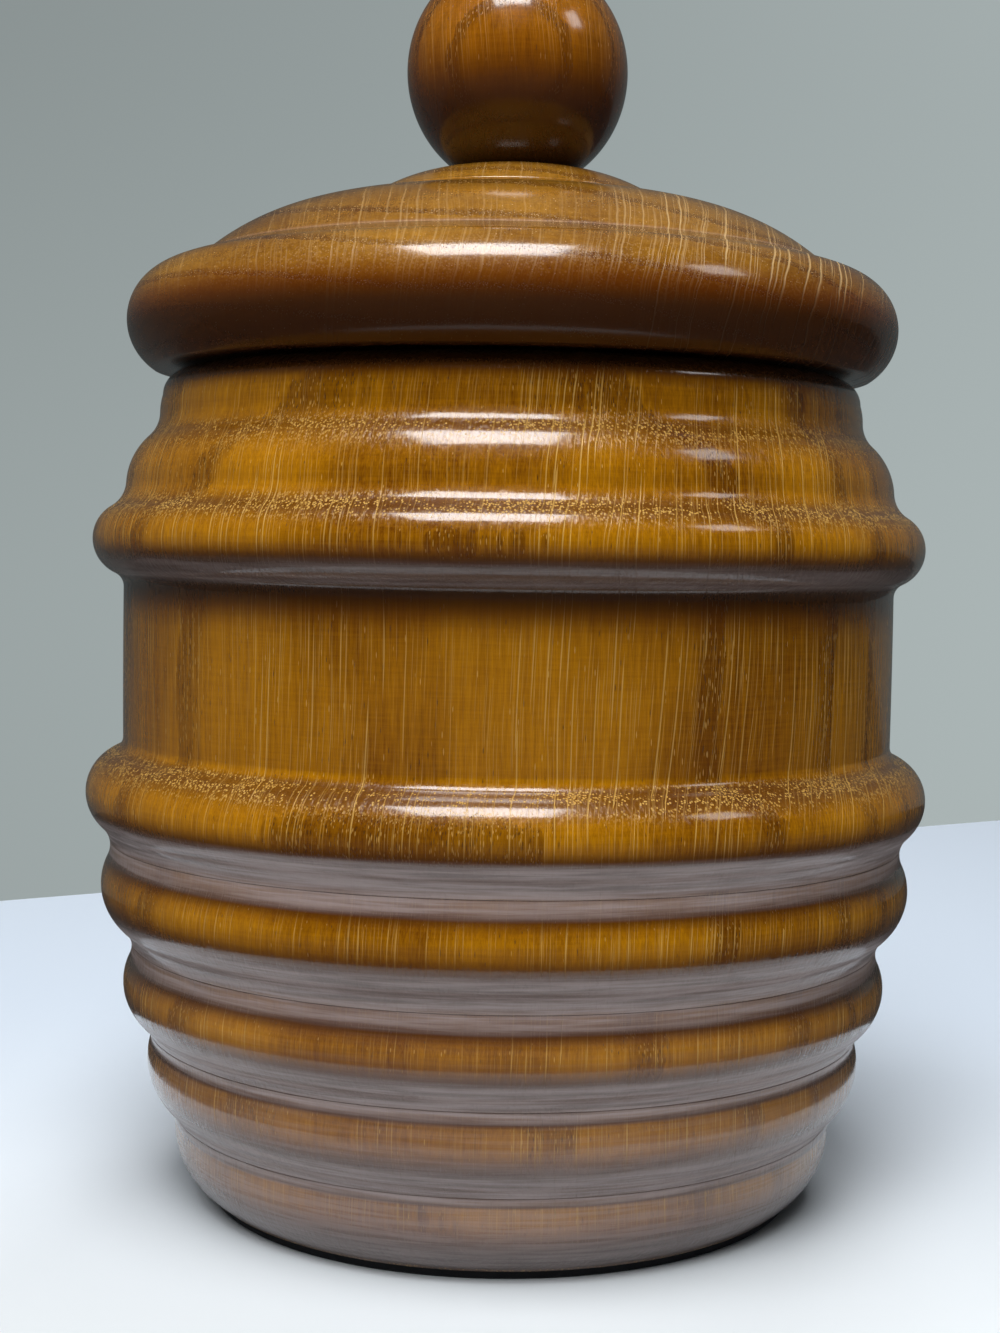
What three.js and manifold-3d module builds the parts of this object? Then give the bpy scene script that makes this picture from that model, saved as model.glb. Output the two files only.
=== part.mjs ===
import * as THREE from 'three';
import { mergeVertices } from 'three/addons/utils/BufferGeometryUtils.js';
import Module from 'manifold-3d';

// Turned oak tobacco jar: a beaded body with a loose glazed liner, a domed lid with
// a ball knob and a cork seal, and a brass humidifier pan under the lid.
// Millimetres, +Z up. The origin is the centre of the base, on the table.

// Clearances between separate pieces.
const SEAT_GAP = 0.3;
const GLUE_GAP = 0.3;
const LINER_GAP = 0.9;

// Body: the plain band in the middle sets the width, and the rest is inset from it.
const BAND_RADIUS = 59.5;
const BAND_HEIGHT = 26.1;
const BAND_BULGE = 0.05;
const BAIZE_THICKNESS = 1.0;
const BAIZE_INSET = 0.9;

// Foot bead, and the grooves below the band, each inset from the band's radius. The
// fullness of a bead is how far it bulges out, as a share of its own height.
const FOOT_INSET = 12.7;
const FOOT_HEIGHT = 12.3;
const FOOT_FULLNESS = 0.16;
const GROOVE_A_INSET = 8.5;
const GROOVE_B_INSET = 5.3;
const GROOVE_C_INSET = 5.8;
const GROOVE_D_INSET = 1.8;

// Beads between those grooves, from the foot up to the band.
const BEAD_A_HEIGHT = 13.1;
const BEAD_A_FULLNESS = 0.22;
const BEAD_B_HEIGHT = 13.9;
const BEAD_B_FULLNESS = 0.39;
const BEAD_C_HEIGHT = 15.9;
const BEAD_C_FULLNESS = 0.44;
const BEAD_D_HEIGHT = 12.9;
const BEAD_D_FULLNESS = 0.5;

// Bead above the band, the shoulder over it and the neck under the lid.
const UPPER_BEAD_HEIGHT = 11.3;
const UPPER_BEAD_FULLNESS = 0.43;
const SHOULDER_INSET = 0.5;
const SHOULDER_HEIGHT = 11.2;
const SHOULDER_FULLNESS = 0.18;
const NECK_INSET = 5.6;
const NECK_TAPER = 0.1;
const NECK_HEIGHT = 8.7;
const NECK_BULGE = 0.05;
const MOUTH_ROUNDING = 3.8;

// Coves that soften the grooves: between beads, at the ends of the band and at the neck.
const GROOVE_COVE = 1.8;
const BAND_COVE = 2.6;
const NECK_COVE = 4.0;

// Bore for the liner.
const MOUTH_WALL = 9.3;
const FLOOR_THICKNESS = 17;

// Glazed liner.
const LINER_WALL = 4.0;
const LINER_FLOOR = 5.0;
const LINER_FLOOR_FILLET = 6.0;
const LINER_RIM_DROP = 2.0;
const LINER_FOOT_CHAMFER = 1.6;

// Lid: a bullnose rim with a sloping top, a dome inside it and a crown under the knob.
const LID_OVERHANG = 5.4;
const RIM_ROUNDING = 8.5;
const RIM_CENTRE_HEIGHT = 7.1;
const RIM_SLOPE_RISE = 1.3;
const DOME_INSET = 11.0;
const DOME_RISE = 9.2;
const DOME_BULGE = 2.4;
const CROWN_RADIUS = 22.7;
const CROWN_STEP = 0.9;
const CROWN_RISE = 4.6;
const CROWN_BULGE = 0.9;
const KNOB_SEAT_RADIUS = 9.1;

// Plug under the lid, with its cork seal.
const CORK_THICKNESS = 2.3;
const CORK_HEIGHT = 7.0;
const CORK_DROP = 4.0;
const PLUG_DEPTH = 12.0;

// Knob: a slightly tall ball, cut flat where it sits.
const KNOB_RADIUS = 17.05;
const KNOB_HALF_HEIGHT = 17.7;

// Screw that holds the knob, driven up from the pan's recess.
const KNOB_SCREW_RADIUS = 2.2;
const KNOB_SCREW_HEAD_RADIUS = 4.4;
const KNOB_SCREW_HEAD_HEIGHT = 2.6;
const KNOB_SCREW_BITE = 15;
const KNOB_SCREW_TIP = 4;

// Humidifier pan, its pad, its pierced cover and its three small screws.
const PAN_RADIUS = 26.7;
const PAN_DEPTH = 7.7;
const SHEET = 0.8;
const FLANGE_WIDTH = 4.3;
const COVER_SKIRT = 3.0;
const PAD_GAP = 0.4;
const PULL_RADIUS = 3.4;
const PULL_END_RADIUS = 2.0;
const PULL_HEIGHT = 5.0;
const PULL_WAIST = 1.7;
const HOLE_RADIUS = 1.4;
const HOLE_RINGS = [
  { radius: 8.5, count: 8 },
  { radius: 14.0, count: 14 },
  { radius: 19.5, count: 18 },
];
const PAN_SCREWS = 3;
const PAN_SCREW_RADIUS = 1.1;
const PAN_SCREW_HEAD_RADIUS = 1.9;
const PAN_SCREW_CROWN_RADIUS = 1.1;
const PAN_SCREW_HEAD_HEIGHT = 1.1;
const PAN_SCREW_BITE = 6.5;
const SLOT_WIDTH = 0.6;
const SLOT_DEPTH = 0.5;

// Smoothness: facets round the axis, and steps along each rounded stretch.
const AROUND_LARGE = 48;
const AROUND_KNOB_SCREW = 28;
const AROUND_PAN_SCREW = 16;
const AROUND_HOLE = 8;
const BEAD_STEPS = 5;
const BAND_STEPS = 2;
const COVE_STEPS = 3;
const EDGE_STEPS = 4;
const RIM_STEPS = 12;
const KNOB_STEPS = 15;

// Vertices nearer than this are one, when a geometry is made into a solid.
const MERGE_DISTANCE = 1e-4;

// How far a drill or cutter runs past the face that it enters.
const OVERRUN = 1;

// Heights along the jar, from the table up.
const FOOT_BOTTOM = BAIZE_THICKNESS + GLUE_GAP;
const GROOVE_A_Z = BAIZE_THICKNESS + FOOT_HEIGHT;
const GROOVE_B_Z = GROOVE_A_Z + BEAD_A_HEIGHT;
const GROOVE_C_Z = GROOVE_B_Z + BEAD_B_HEIGHT;
const GROOVE_D_Z = GROOVE_C_Z + BEAD_C_HEIGHT;
const BAND_BOTTOM = GROOVE_D_Z + BEAD_D_HEIGHT;
const BAND_TOP = BAND_BOTTOM + BAND_HEIGHT;
const SHOULDER_Z = BAND_TOP + UPPER_BEAD_HEIGHT;
const NECK_Z = SHOULDER_Z + SHOULDER_HEIGHT;
const BODY_TOP = NECK_Z + NECK_HEIGHT;
const BORE_FLOOR = FOOT_BOTTOM + FLOOR_THICKNESS;
const LINER_BOTTOM = BORE_FLOOR + SEAT_GAP;
const LINER_TOP = BODY_TOP - LINER_RIM_DROP;
const LID_BOTTOM = BODY_TOP + SEAT_GAP;
const PLUG_BOTTOM = LID_BOTTOM - PLUG_DEPTH;
const RIM_CENTRE_Z = LID_BOTTOM + RIM_CENTRE_HEIGHT;
const DOME_Z = RIM_CENTRE_Z + RIM_ROUNDING + RIM_SLOPE_RISE;
const CROWN_Z = DOME_Z + DOME_RISE;
const CROWN_TOP = CROWN_Z + CROWN_STEP + CROWN_RISE;
const KNOB_BOTTOM = CROWN_TOP + SEAT_GAP;
const RECESS_TOP = PLUG_BOTTOM + PAN_DEPTH + GLUE_GAP;
const PAN_TOP = RECESS_TOP - GLUE_GAP;
const FLANGE_TOP = PLUG_BOTTOM - GLUE_GAP;
const FLANGE_BOTTOM = FLANGE_TOP - SHEET;

// Radii that follow from the fits.
const NECK_RADIUS = BAND_RADIUS - NECK_INSET;
const MOUTH_RADIUS = NECK_RADIUS - NECK_TAPER;
const BORE_RADIUS = MOUTH_RADIUS - MOUTH_WALL;
const LINER_RADIUS = BORE_RADIUS - LINER_GAP;
const LINER_INSIDE = LINER_RADIUS - LINER_WALL;
const CORK_RADIUS = LINER_INSIDE - SEAT_GAP;
const PLUG_RADIUS = CORK_RADIUS - CORK_THICKNESS - GLUE_GAP;
const LID_RADIUS = MOUTH_RADIUS + LID_OVERHANG;
const RIM_CENTRE_RADIUS = LID_RADIUS - RIM_ROUNDING;
const RECESS_RADIUS = PAN_RADIUS + GLUE_GAP;
const FLANGE_RADIUS = RECESS_RADIUS + FLANGE_WIDTH;
const PAN_INSIDE = PAN_RADIUS - SHEET;
const COVER_RADIUS = PAN_INSIDE - SEAT_GAP;
const PAN_SCREW_CIRCLE = RECESS_RADIUS + FLANGE_WIDTH / 2;

const wasm = await Module();
wasm.setup();

// Outlines are lists of (radius, height) points, walked with the wood on the left.
const at = (radius, height) => new THREE.Vector2(radius, height);

// Points of an arc round a centre, both ends included.
function arc(centre, radius, start, end, steps = BEAD_STEPS) {
  const points = [];
  for (let i = 0; i <= steps; i += 1) {
    const angle = start + ((end - start) * i) / steps;
    points.push(at(centre.x + radius * Math.cos(angle), centre.y + radius * Math.sin(angle)));
  }
  return points;
}

// Angle of a point seen from a centre.
const angleOf = (point, centre) => Math.atan2(point.y - centre.y, point.x - centre.x);

// Circle through two points whose arc bulges out between them by a stated amount.
function circleOver(from, to, rise) {
  const chord = to.clone().sub(from);
  const half = chord.length() / 2;
  const outward = at(chord.y, -chord.x).normalize();
  const radius = (half * half + rise * rise) / (2 * rise);
  const centre = from.clone().add(to).multiplyScalar(0.5).addScaledVector(outward, rise - radius);
  return { centre, radius };
}

// Arc of a circle from one point on it to the next one up. The first point is left out,
// because the outline already ends on it.
function arcUp(circle, from, to, steps) {
  const start = angleOf(from, circle.centre);
  let sweep = angleOf(to, circle.centre) - start;
  if (sweep <= 0) sweep += 2 * Math.PI;
  return arc(circle.centre, circle.radius, start, start + sweep, steps).slice(1);
}

// Whether two stretches meet in a groove at a point, and not on a ridge.
function isGroove(lower, upper, point) {
  const before = point.clone().sub(lower.centre);
  const after = point.clone().sub(upper.centre);
  return before.cross(after) < 0;
}

// Cove of a stated radius that touches the circles below and above a groove.
function coveBetween(lower, upper, cove) {
  const span = upper.centre.clone().sub(lower.centre);
  const length = span.length();
  const along = span.clone().normalize();
  const outward = at(along.y, -along.x);
  const reachLower = lower.radius + cove;
  const reachUpper = upper.radius + cove;
  const foot = (length ** 2 + reachLower ** 2 - reachUpper ** 2) / (2 * length);
  const height = Math.sqrt(reachLower ** 2 - foot ** 2);
  const centre = lower.centre.clone().addScaledVector(along, foot).addScaledVector(outward, height);
  const start = lower.centre.clone().lerp(centre, lower.radius / reachLower);
  const end = upper.centre.clone().lerp(centre, upper.radius / reachUpper);
  const from = angleOf(start, centre);
  let sweep = angleOf(end, centre) - from;
  if (sweep > 0) sweep -= 2 * Math.PI;
  return { start, end, points: arc(centre, cove, from, from + sweep, COVE_STEPS).slice(1) };
}

// Chain of bulging stretches, walked upwards. Each stop has its point, the bulge on the
// way to it, and the cove that softens its groove.
function beads(first, stops) {
  const starts = [first, ...stops.map((stop) => stop.to)];
  const circles = stops.map(({ to, rise }, i) => circleOver(starts[i], to, rise));
  const points = [first];
  for (const [i, { to, cove, steps = BEAD_STEPS }] of stops.entries()) {
    const isSoft = cove && isGroove(circles[i], circles[i + 1], to);
    const groove = isSoft ? coveBetween(circles[i], circles[i + 1], cove) : null;
    points.push(...arcUp(circles[i], points.at(-1), groove ? groove.start : to, steps));
    if (groove) points.push(...groove.points);
  }
  return points;
}

// Turns an outline round the Z axis.
function turned(outline, around) {
  return new THREE.LatheGeometry(outline, around).rotateX(Math.PI / 2);
}

// Closes an outline that doesn't reach the axis, for a ring or a drilled piece.
function ring(outline) {
  return [...outline, outline[0].clone()];
}

// Drill along Z between two heights.
function rod(radius, bottom, top, x, y) {
  const geometry = new THREE.CylinderGeometry(radius, radius, top - bottom, AROUND_HOLE);
  return geometry.rotateX(Math.PI / 2).translate(x, y, (bottom + top) / 2);
}

// Closed solid from a geometry, for the boolean cuts.
function toSolid(geometry) {
  const bare = geometry.clone();
  bare.deleteAttribute('normal');
  bare.deleteAttribute('uv');
  const merged = mergeVertices(bare, MERGE_DISTANCE);
  const index = Array.from(merged.index.array);
  const kept = [];
  for (let i = 0; i < index.length; i += 3) {
    const [a, b, c] = index.slice(i, i + 3);
    const isTriangle = a !== b && b !== c && c !== a;
    kept.push(...(isTriangle ? [a, b, c] : []));
  }
  return new wasm.Manifold(new wasm.Mesh({
    numProp: 3,
    vertProperties: new Float32Array(merged.attributes.position.array),
    triVerts: new Uint32Array(kept),
  }));
}

// Geometry of a cut solid.
function toGeometry(solid) {
  const mesh = solid.getMesh();
  const geometry = new THREE.BufferGeometry();
  geometry.setAttribute('position', new THREE.BufferAttribute(mesh.vertProperties, 3));
  geometry.setIndex(new THREE.BufferAttribute(mesh.triVerts, 1));
  return geometry;
}

// Takes every cutter out of a piece.
function cut(geometry, cutters) {
  const solid = cutters.reduce((rest, cutter) => rest.subtract(toSolid(cutter)), toSolid(geometry));
  return toGeometry(solid);
}

// Centres of the screws round the pan's flange.
function panScrewPlaces() {
  return Array.from({ length: PAN_SCREWS }, (_, i) => {
    const angle = Math.PI / 2 + (i * 2 * Math.PI) / PAN_SCREWS;
    return at(PAN_SCREW_CIRCLE * Math.cos(angle), PAN_SCREW_CIRCLE * Math.sin(angle));
  });
}

// Oak body, turned outside and bored for the liner.
function barrelBody() {
  const inset = (amount, height) => at(BAND_RADIUS - amount, height);
  const edge = at(MOUTH_RADIUS - MOUTH_ROUNDING, BODY_TOP - MOUTH_ROUNDING);
  const foot = FOOT_HEIGHT * FOOT_FULLNESS;
  const beadA = BEAD_A_HEIGHT * BEAD_A_FULLNESS;
  const beadB = BEAD_B_HEIGHT * BEAD_B_FULLNESS;
  const beadC = BEAD_C_HEIGHT * BEAD_C_FULLNESS;
  const beadD = BEAD_D_HEIGHT * BEAD_D_FULLNESS;
  const upper = UPPER_BEAD_HEIGHT * UPPER_BEAD_FULLNESS;
  const shoulder = SHOULDER_HEIGHT * SHOULDER_FULLNESS;
  const outside = beads(inset(FOOT_INSET, FOOT_BOTTOM), [
    { to: inset(GROOVE_A_INSET, GROOVE_A_Z), rise: foot, cove: GROOVE_COVE },
    { to: inset(GROOVE_B_INSET, GROOVE_B_Z), rise: beadA, cove: GROOVE_COVE },
    { to: inset(GROOVE_C_INSET, GROOVE_C_Z), rise: beadB, cove: GROOVE_COVE },
    { to: inset(GROOVE_D_INSET, GROOVE_D_Z), rise: beadC, cove: GROOVE_COVE },
    { to: inset(0, BAND_BOTTOM), rise: beadD, cove: BAND_COVE },
    { to: inset(0, BAND_TOP), rise: BAND_BULGE, cove: BAND_COVE, steps: BAND_STEPS },
    { to: inset(SHOULDER_INSET, SHOULDER_Z), rise: upper, cove: GROOVE_COVE },
    { to: at(NECK_RADIUS, NECK_Z), rise: shoulder, cove: NECK_COVE },
    { to: at(MOUTH_RADIUS, edge.y), rise: NECK_BULGE, steps: BAND_STEPS },
  ]);
  return turned([
    at(0, FOOT_BOTTOM),
    ...outside,
    ...arc(edge, MOUTH_ROUNDING, 0, Math.PI / 2, EDGE_STEPS).slice(1),
    at(BORE_RADIUS, BODY_TOP),
    at(BORE_RADIUS, BORE_FLOOR),
    at(0, BORE_FLOOR),
  ], AROUND_LARGE);
}

// Baize glued under the foot.
function baseBaize() {
  const radius = BAND_RADIUS - FOOT_INSET - BAIZE_INSET;
  const outline = [at(0, 0), at(radius, 0), at(radius, BAIZE_THICKNESS), at(0, BAIZE_THICKNESS)];
  return turned(outline, AROUND_LARGE);
}

// Glazed pot that stands loose in the bore and holds the tobacco.
function linerPot() {
  const rimRadius = LINER_WALL / 2;
  const floor = LINER_BOTTOM + LINER_FLOOR;
  const rim = arc(at(LINER_RADIUS - rimRadius, LINER_TOP - rimRadius), rimRadius, 0, Math.PI, BEAD_STEPS);
  const corner = at(LINER_INSIDE - LINER_FLOOR_FILLET, floor + LINER_FLOOR_FILLET);
  return turned([
    at(0, LINER_BOTTOM),
    at(LINER_RADIUS - LINER_FOOT_CHAMFER, LINER_BOTTOM),
    at(LINER_RADIUS, LINER_BOTTOM + LINER_FOOT_CHAMFER),
    ...rim,
    ...arc(corner, LINER_FLOOR_FILLET, 0, -Math.PI / 2, EDGE_STEPS),
    at(0, floor),
  ], AROUND_LARGE);
}

// Oak lid: rim, dome, crown and plug in one piece, drilled for the knob's screw.
function lid() {
  const hole = KNOB_SCREW_RADIUS + SEAT_GAP;
  const sink = KNOB_SCREW_HEAD_RADIUS + SEAT_GAP;
  const rimStart = -Math.asin(RIM_CENTRE_HEIGHT / RIM_ROUNDING);
  const rim = arc(at(RIM_CENTRE_RADIUS, RIM_CENTRE_Z), RIM_ROUNDING, rimStart, Math.PI / 2, RIM_STEPS);
  const domeFoot = at(LID_RADIUS - DOME_INSET, DOME_Z);
  const domeTop = at(CROWN_RADIUS, CROWN_Z);
  const crownFoot = at(CROWN_RADIUS, CROWN_Z + CROWN_STEP);
  const crownTop = at(KNOB_SEAT_RADIUS, CROWN_TOP);
  const blank = turned(ring([
    at(sink, RECESS_TOP),
    at(RECESS_RADIUS, RECESS_TOP),
    at(RECESS_RADIUS, PLUG_BOTTOM),
    at(PLUG_RADIUS, PLUG_BOTTOM),
    at(PLUG_RADIUS, LID_BOTTOM),
    ...rim,
    ...beads(domeFoot, [{ to: domeTop, rise: DOME_BULGE }]),
    ...beads(crownFoot, [{ to: crownTop, rise: CROWN_BULGE }]),
    at(hole, CROWN_TOP),
    at(hole, RECESS_TOP + KNOB_SCREW_HEAD_HEIGHT),
  ]), AROUND_LARGE);
  const drill = PAN_SCREW_RADIUS + GLUE_GAP / 2;
  const depth = PLUG_BOTTOM + PAN_SCREW_BITE + SEAT_GAP;
  const holes = panScrewPlaces().map((p) => rod(drill, PLUG_BOTTOM - OVERRUN, depth, p.x, p.y));
  return cut(blank, holes);
}

// Cork band round the plug.
function corkSeal() {
  const inner = PLUG_RADIUS + GLUE_GAP;
  const top = LID_BOTTOM - CORK_DROP;
  const bottom = top - CORK_HEIGHT;
  const outline = [at(inner, bottom), at(CORK_RADIUS, bottom), at(CORK_RADIUS, top), at(inner, top)];
  return turned(ring(outline), AROUND_LARGE);
}

// Ball knob, flat underneath and drilled for its screw.
function knob() {
  const hole = KNOB_SCREW_RADIUS + GLUE_GAP;
  const slope = Math.acos(KNOB_SEAT_RADIUS / KNOB_RADIUS);
  const centre = KNOB_BOTTOM + KNOB_HALF_HEIGHT * Math.sin(slope);
  const ball = arc(at(0, 0), 1, -slope, Math.PI / 2, KNOB_STEPS);
  const outside = ball.map((p) => at(KNOB_RADIUS * p.x, centre + KNOB_HALF_HEIGHT * p.y));
  outside.at(-1).x = 0;
  const depth = KNOB_BOTTOM + KNOB_SCREW_BITE + SEAT_GAP;
  const drilled = [at(0, depth), at(hole, depth - KNOB_SCREW_TIP), at(hole, KNOB_BOTTOM)];
  return turned([...drilled, ...outside], AROUND_LARGE);
}

// Countersunk wood screw through the lid into the knob.
function knobScrew() {
  const tip = KNOB_BOTTOM + KNOB_SCREW_BITE;
  return turned([
    at(0, RECESS_TOP),
    at(KNOB_SCREW_HEAD_RADIUS, RECESS_TOP),
    at(KNOB_SCREW_RADIUS, RECESS_TOP + KNOB_SCREW_HEAD_HEIGHT),
    at(KNOB_SCREW_RADIUS, tip - KNOB_SCREW_TIP),
    at(0, tip),
  ], AROUND_KNOB_SCREW);
}

// Brass pan let into the plug, with a flange for its screws.
function humidifierPan() {
  const pan = turned([
    at(0, PAN_TOP - SHEET),
    at(PAN_INSIDE, PAN_TOP - SHEET),
    at(PAN_INSIDE, FLANGE_BOTTOM),
    at(FLANGE_RADIUS, FLANGE_BOTTOM),
    at(FLANGE_RADIUS, FLANGE_TOP),
    at(PAN_RADIUS, FLANGE_TOP),
    at(PAN_RADIUS, PAN_TOP),
    at(0, PAN_TOP),
  ], AROUND_LARGE);
  const drill = PAN_SCREW_RADIUS + GLUE_GAP / 2;
  const bottom = FLANGE_BOTTOM - OVERRUN;
  const top = FLANGE_TOP + OVERRUN;
  const holes = panScrewPlaces().map((p) => rod(drill, bottom, top, p.x, p.y));
  return cut(pan, holes);
}

// Absorbent disc inside the pan.
function humidifierPad() {
  const radius = COVER_RADIUS - SHEET - PAD_GAP;
  const bottom = FLANGE_BOTTOM + SHEET + SEAT_GAP;
  const top = PAN_TOP - SHEET - SEAT_GAP;
  return turned([at(0, bottom), at(radius, bottom), at(radius, top), at(0, top)], AROUND_LARGE);
}

// Pierced brass cover with a skirt that pushes into the pan and a small pull.
function humidifierCover() {
  const inside = COVER_RADIUS - SHEET;
  const pullBottom = FLANGE_BOTTOM - PULL_HEIGHT;
  const waistHeight = PULL_HEIGHT / 3;
  const plate = turned([
    at(0, pullBottom),
    at(PULL_END_RADIUS, pullBottom),
    at(PULL_RADIUS, pullBottom + waistHeight / 2),
    at(PULL_RADIUS, pullBottom + waistHeight),
    at(PULL_WAIST, pullBottom + 2 * waistHeight),
    at(PULL_WAIST, FLANGE_BOTTOM),
    at(COVER_RADIUS, FLANGE_BOTTOM),
    at(COVER_RADIUS, FLANGE_BOTTOM + COVER_SKIRT),
    at(inside, FLANGE_BOTTOM + COVER_SKIRT),
    at(inside, FLANGE_BOTTOM + SHEET),
    at(0, FLANGE_BOTTOM + SHEET),
  ], AROUND_LARGE);
  const holes = [];
  for (const { radius, count } of HOLE_RINGS) {
    for (let i = 0; i < count; i += 1) {
      const angle = (i * 2 * Math.PI) / count;
      const x = radius * Math.cos(angle);
      const y = radius * Math.sin(angle);
      holes.push(rod(HOLE_RADIUS, FLANGE_BOTTOM - OVERRUN, FLANGE_BOTTOM + SHEET + OVERRUN, x, y));
    }
  }
  return cut(plate, holes);
}

// Round-headed brass screw with a slot, head down, point up, at the axis.
function panScrew() {
  const seat = FLANGE_BOTTOM;
  const headBottom = seat - PAN_SCREW_HEAD_HEIGHT;
  const tip = PLUG_BOTTOM + PAN_SCREW_BITE;
  const shank = turned([
    at(0, headBottom),
    at(PAN_SCREW_CROWN_RADIUS, headBottom),
    at(PAN_SCREW_HEAD_RADIUS, headBottom + PAN_SCREW_HEAD_HEIGHT / 2),
    at(PAN_SCREW_HEAD_RADIUS, seat),
    at(PAN_SCREW_RADIUS, seat),
    at(PAN_SCREW_RADIUS, tip - PAN_SCREW_RADIUS),
    at(0, tip),
  ], AROUND_PAN_SCREW);
  const slotLength = 2 * (PAN_SCREW_HEAD_RADIUS + OVERRUN);
  const slot = new THREE.BoxGeometry(slotLength, SLOT_WIDTH, 2 * SLOT_DEPTH);
  return cut(shank, [slot.translate(0, 0, headBottom)]);
}

// Material from a colour, a roughness and, for brass and steel, a metalness.
function finish(color, roughness, metalness = 0) {
  return new THREE.MeshStandardMaterial({ color, roughness, metalness });
}

const OAK = () => finish(0x8a5a1e, 0.25);
const BRASS = () => finish(0xb08d4a, 0.35, 1);

const group = new THREE.Group();

function add(name, geometry, material) {
  const mesh = new THREE.Mesh(geometry, material);
  mesh.name = name;
  group.add(mesh);
  return mesh;
}

add('barrel_body', barrelBody(), OAK());
add('base_baize', baseBaize(), finish(0x0c0c0e, 0.95));
add('liner_pot', linerPot(), finish(0xe6dcc4, 0.2));
add('lid', lid(), OAK());
add('cork_seal', corkSeal(), finish(0xb08558, 0.9));
add('knob', knob(), OAK());
add('knob_screw', knobScrew(), finish(0x8f9094, 0.4, 1));
add('humidifier_pan', humidifierPan(), BRASS());
add('humidifier_pad', humidifierPad(), finish(0xb9775a, 0.95));
add('humidifier_cover', humidifierCover(), BRASS());
for (const [i, place] of panScrewPlaces().entries()) {
  const screw = add(`pan_screw_${i + 1}`, panScrew(), BRASS());
  screw.position.set(place.x, place.y, 0);
}

export default group;
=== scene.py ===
"""Turned oak tobacco jar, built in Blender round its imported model.

The oak body, its lid and the ball knob are turned from fine outlines. Under the lid are
a cork seal and a brass humidifier, and a loose glazed liner stands in the bore.
Outlines are in millimetres, meshes in metres, +Z up, the origin at the base's centre.
"""

import functools
import logging
import math
from dataclasses import dataclass, field
from enum import Enum
from typing import Iterable, Optional, Sequence, Union

import bmesh
import bpy
from mathutils import Matrix, Vector


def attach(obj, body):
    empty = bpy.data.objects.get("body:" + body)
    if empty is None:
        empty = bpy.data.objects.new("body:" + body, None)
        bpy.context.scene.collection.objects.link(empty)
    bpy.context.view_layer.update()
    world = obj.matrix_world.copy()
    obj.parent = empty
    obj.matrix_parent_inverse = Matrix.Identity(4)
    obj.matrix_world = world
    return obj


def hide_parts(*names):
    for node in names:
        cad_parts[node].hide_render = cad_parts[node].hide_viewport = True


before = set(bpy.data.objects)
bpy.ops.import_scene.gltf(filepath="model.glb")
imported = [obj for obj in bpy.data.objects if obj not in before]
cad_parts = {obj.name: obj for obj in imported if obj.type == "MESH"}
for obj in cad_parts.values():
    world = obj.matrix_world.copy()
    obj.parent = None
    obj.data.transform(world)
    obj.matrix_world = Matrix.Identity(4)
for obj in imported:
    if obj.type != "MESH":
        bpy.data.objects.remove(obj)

log = logging.getLogger("tobacco_jar")

MM = 0.001
FULL_TURN = 2 * math.pi

# Gap between two pieces that are glued together, in millimetres.
GAP = 0.02

# Steps in the full turn of a small piece.
ROUND = 160

# Most that an arc and a cove turn in one step.
ARC_STEP = math.radians(9)
COVE_STEP = math.radians(8)

# Pale wax colour under a bead, which also paints the table's reflection there: where it starts, in how
# many degrees it gets full, and its most.
WAX_SHEEN_START, WAX_SHEEN_FADE, WAX_SHEEN_MOST = -16.0, 22.0, 0.8

# The fine line cut in a groove: half of its width, its depth and the dark colour in it.
CUT_HALF, CUT_DEPTH = 0.12, 0.1
CUT_COLOUR = (0.03, 0.015, 0.01)

Colour = tuple[float, float, float]
Point = tuple[float, float]
Socket = bpy.types.NodeSocket
Node = bpy.types.Node
Piece = bpy.types.Object
Mesh = bmesh.types.BMesh
Feed = Union[Socket, float, Sequence[float]]


# Outlines and turning


@dataclass(frozen=True)
class Stretch:
    """One stretch of a turned outline, from the last point up to its own.

    Attributes:
        radius: Radius at its upper end.
        height: Height of its upper end.
        swell: How far it bulges out between its ends.
        cove: Radius of the cove that softens the groove at its upper end.
        wax_and_sheen: How much pale wax colour, with painted reflection of the table,
        that groove and the underside of the bead above it get.
        scored: Whether that groove has a fine line cut in its bottom.
    """

    radius: float
    height: float
    swell: float
    cove: float = 0.0
    wax_and_sheen: float = 0.0
    scored: bool = False


@dataclass(frozen=True)
class Circle:
    """A circle in the outline's plane, with its centre at a radius and a height."""

    x: float
    z: float
    radius: float

    def angle_to(self, point: Point) -> float:
        """Angle at which a point is seen from the centre."""
        return math.atan2(point[1] - self.z, point[0] - self.x)

    def at(self, angle: float, extra: float = 0.0) -> Point:
        """Point of the circle at an angle, or a little outside it."""
        reach = self.radius + extra
        return self.x + reach * math.cos(angle), self.z + reach * math.sin(angle)


def circle_over(low: Point, high: Point, swell: float) -> Circle:
    """Finds the circle whose arc bulges out by a stated amount between two points.

    Args:
        low: The lower point.
        high: The upper point.
        swell: How far the arc stands out from the straight line.

    Returns:
        The circle.
    """
    dx, dz = high[0] - low[0], high[1] - low[1]
    length = math.hypot(dx, dz)
    half = length / 2
    radius = (half * half + swell * swell) / (2 * swell)
    out_x, out_z = dz / length, -dx / length
    x = (low[0] + high[0]) / 2 + out_x * (swell - radius)
    z = (low[1] + high[1]) / 2 + out_z * (swell - radius)
    return Circle(x, z, radius)


def cove_circle(low: Circle, high: Circle, cove: float) -> Circle:
    """Finds the cove that touches the circles below and above a groove.

    Args:
        low: Circle of the stretch below.
        high: Circle of the stretch above.
        cove: Radius of the cove.

    Returns:
        The cove's circle, whose centre is outside the wood.
    """
    dx, dz = high.x - low.x, high.z - low.z
    length = math.hypot(dx, dz)
    reach_low, reach_high = low.radius + cove, high.radius + cove
    along = (length**2 + reach_low**2 - reach_high**2) / (2 * length)
    out = math.sqrt(reach_low**2 - along**2)
    x = low.x + dx / length * along + dz / length * out
    z = low.z + dz / length * along - dx / length * out
    return Circle(x, z, cove)


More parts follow.
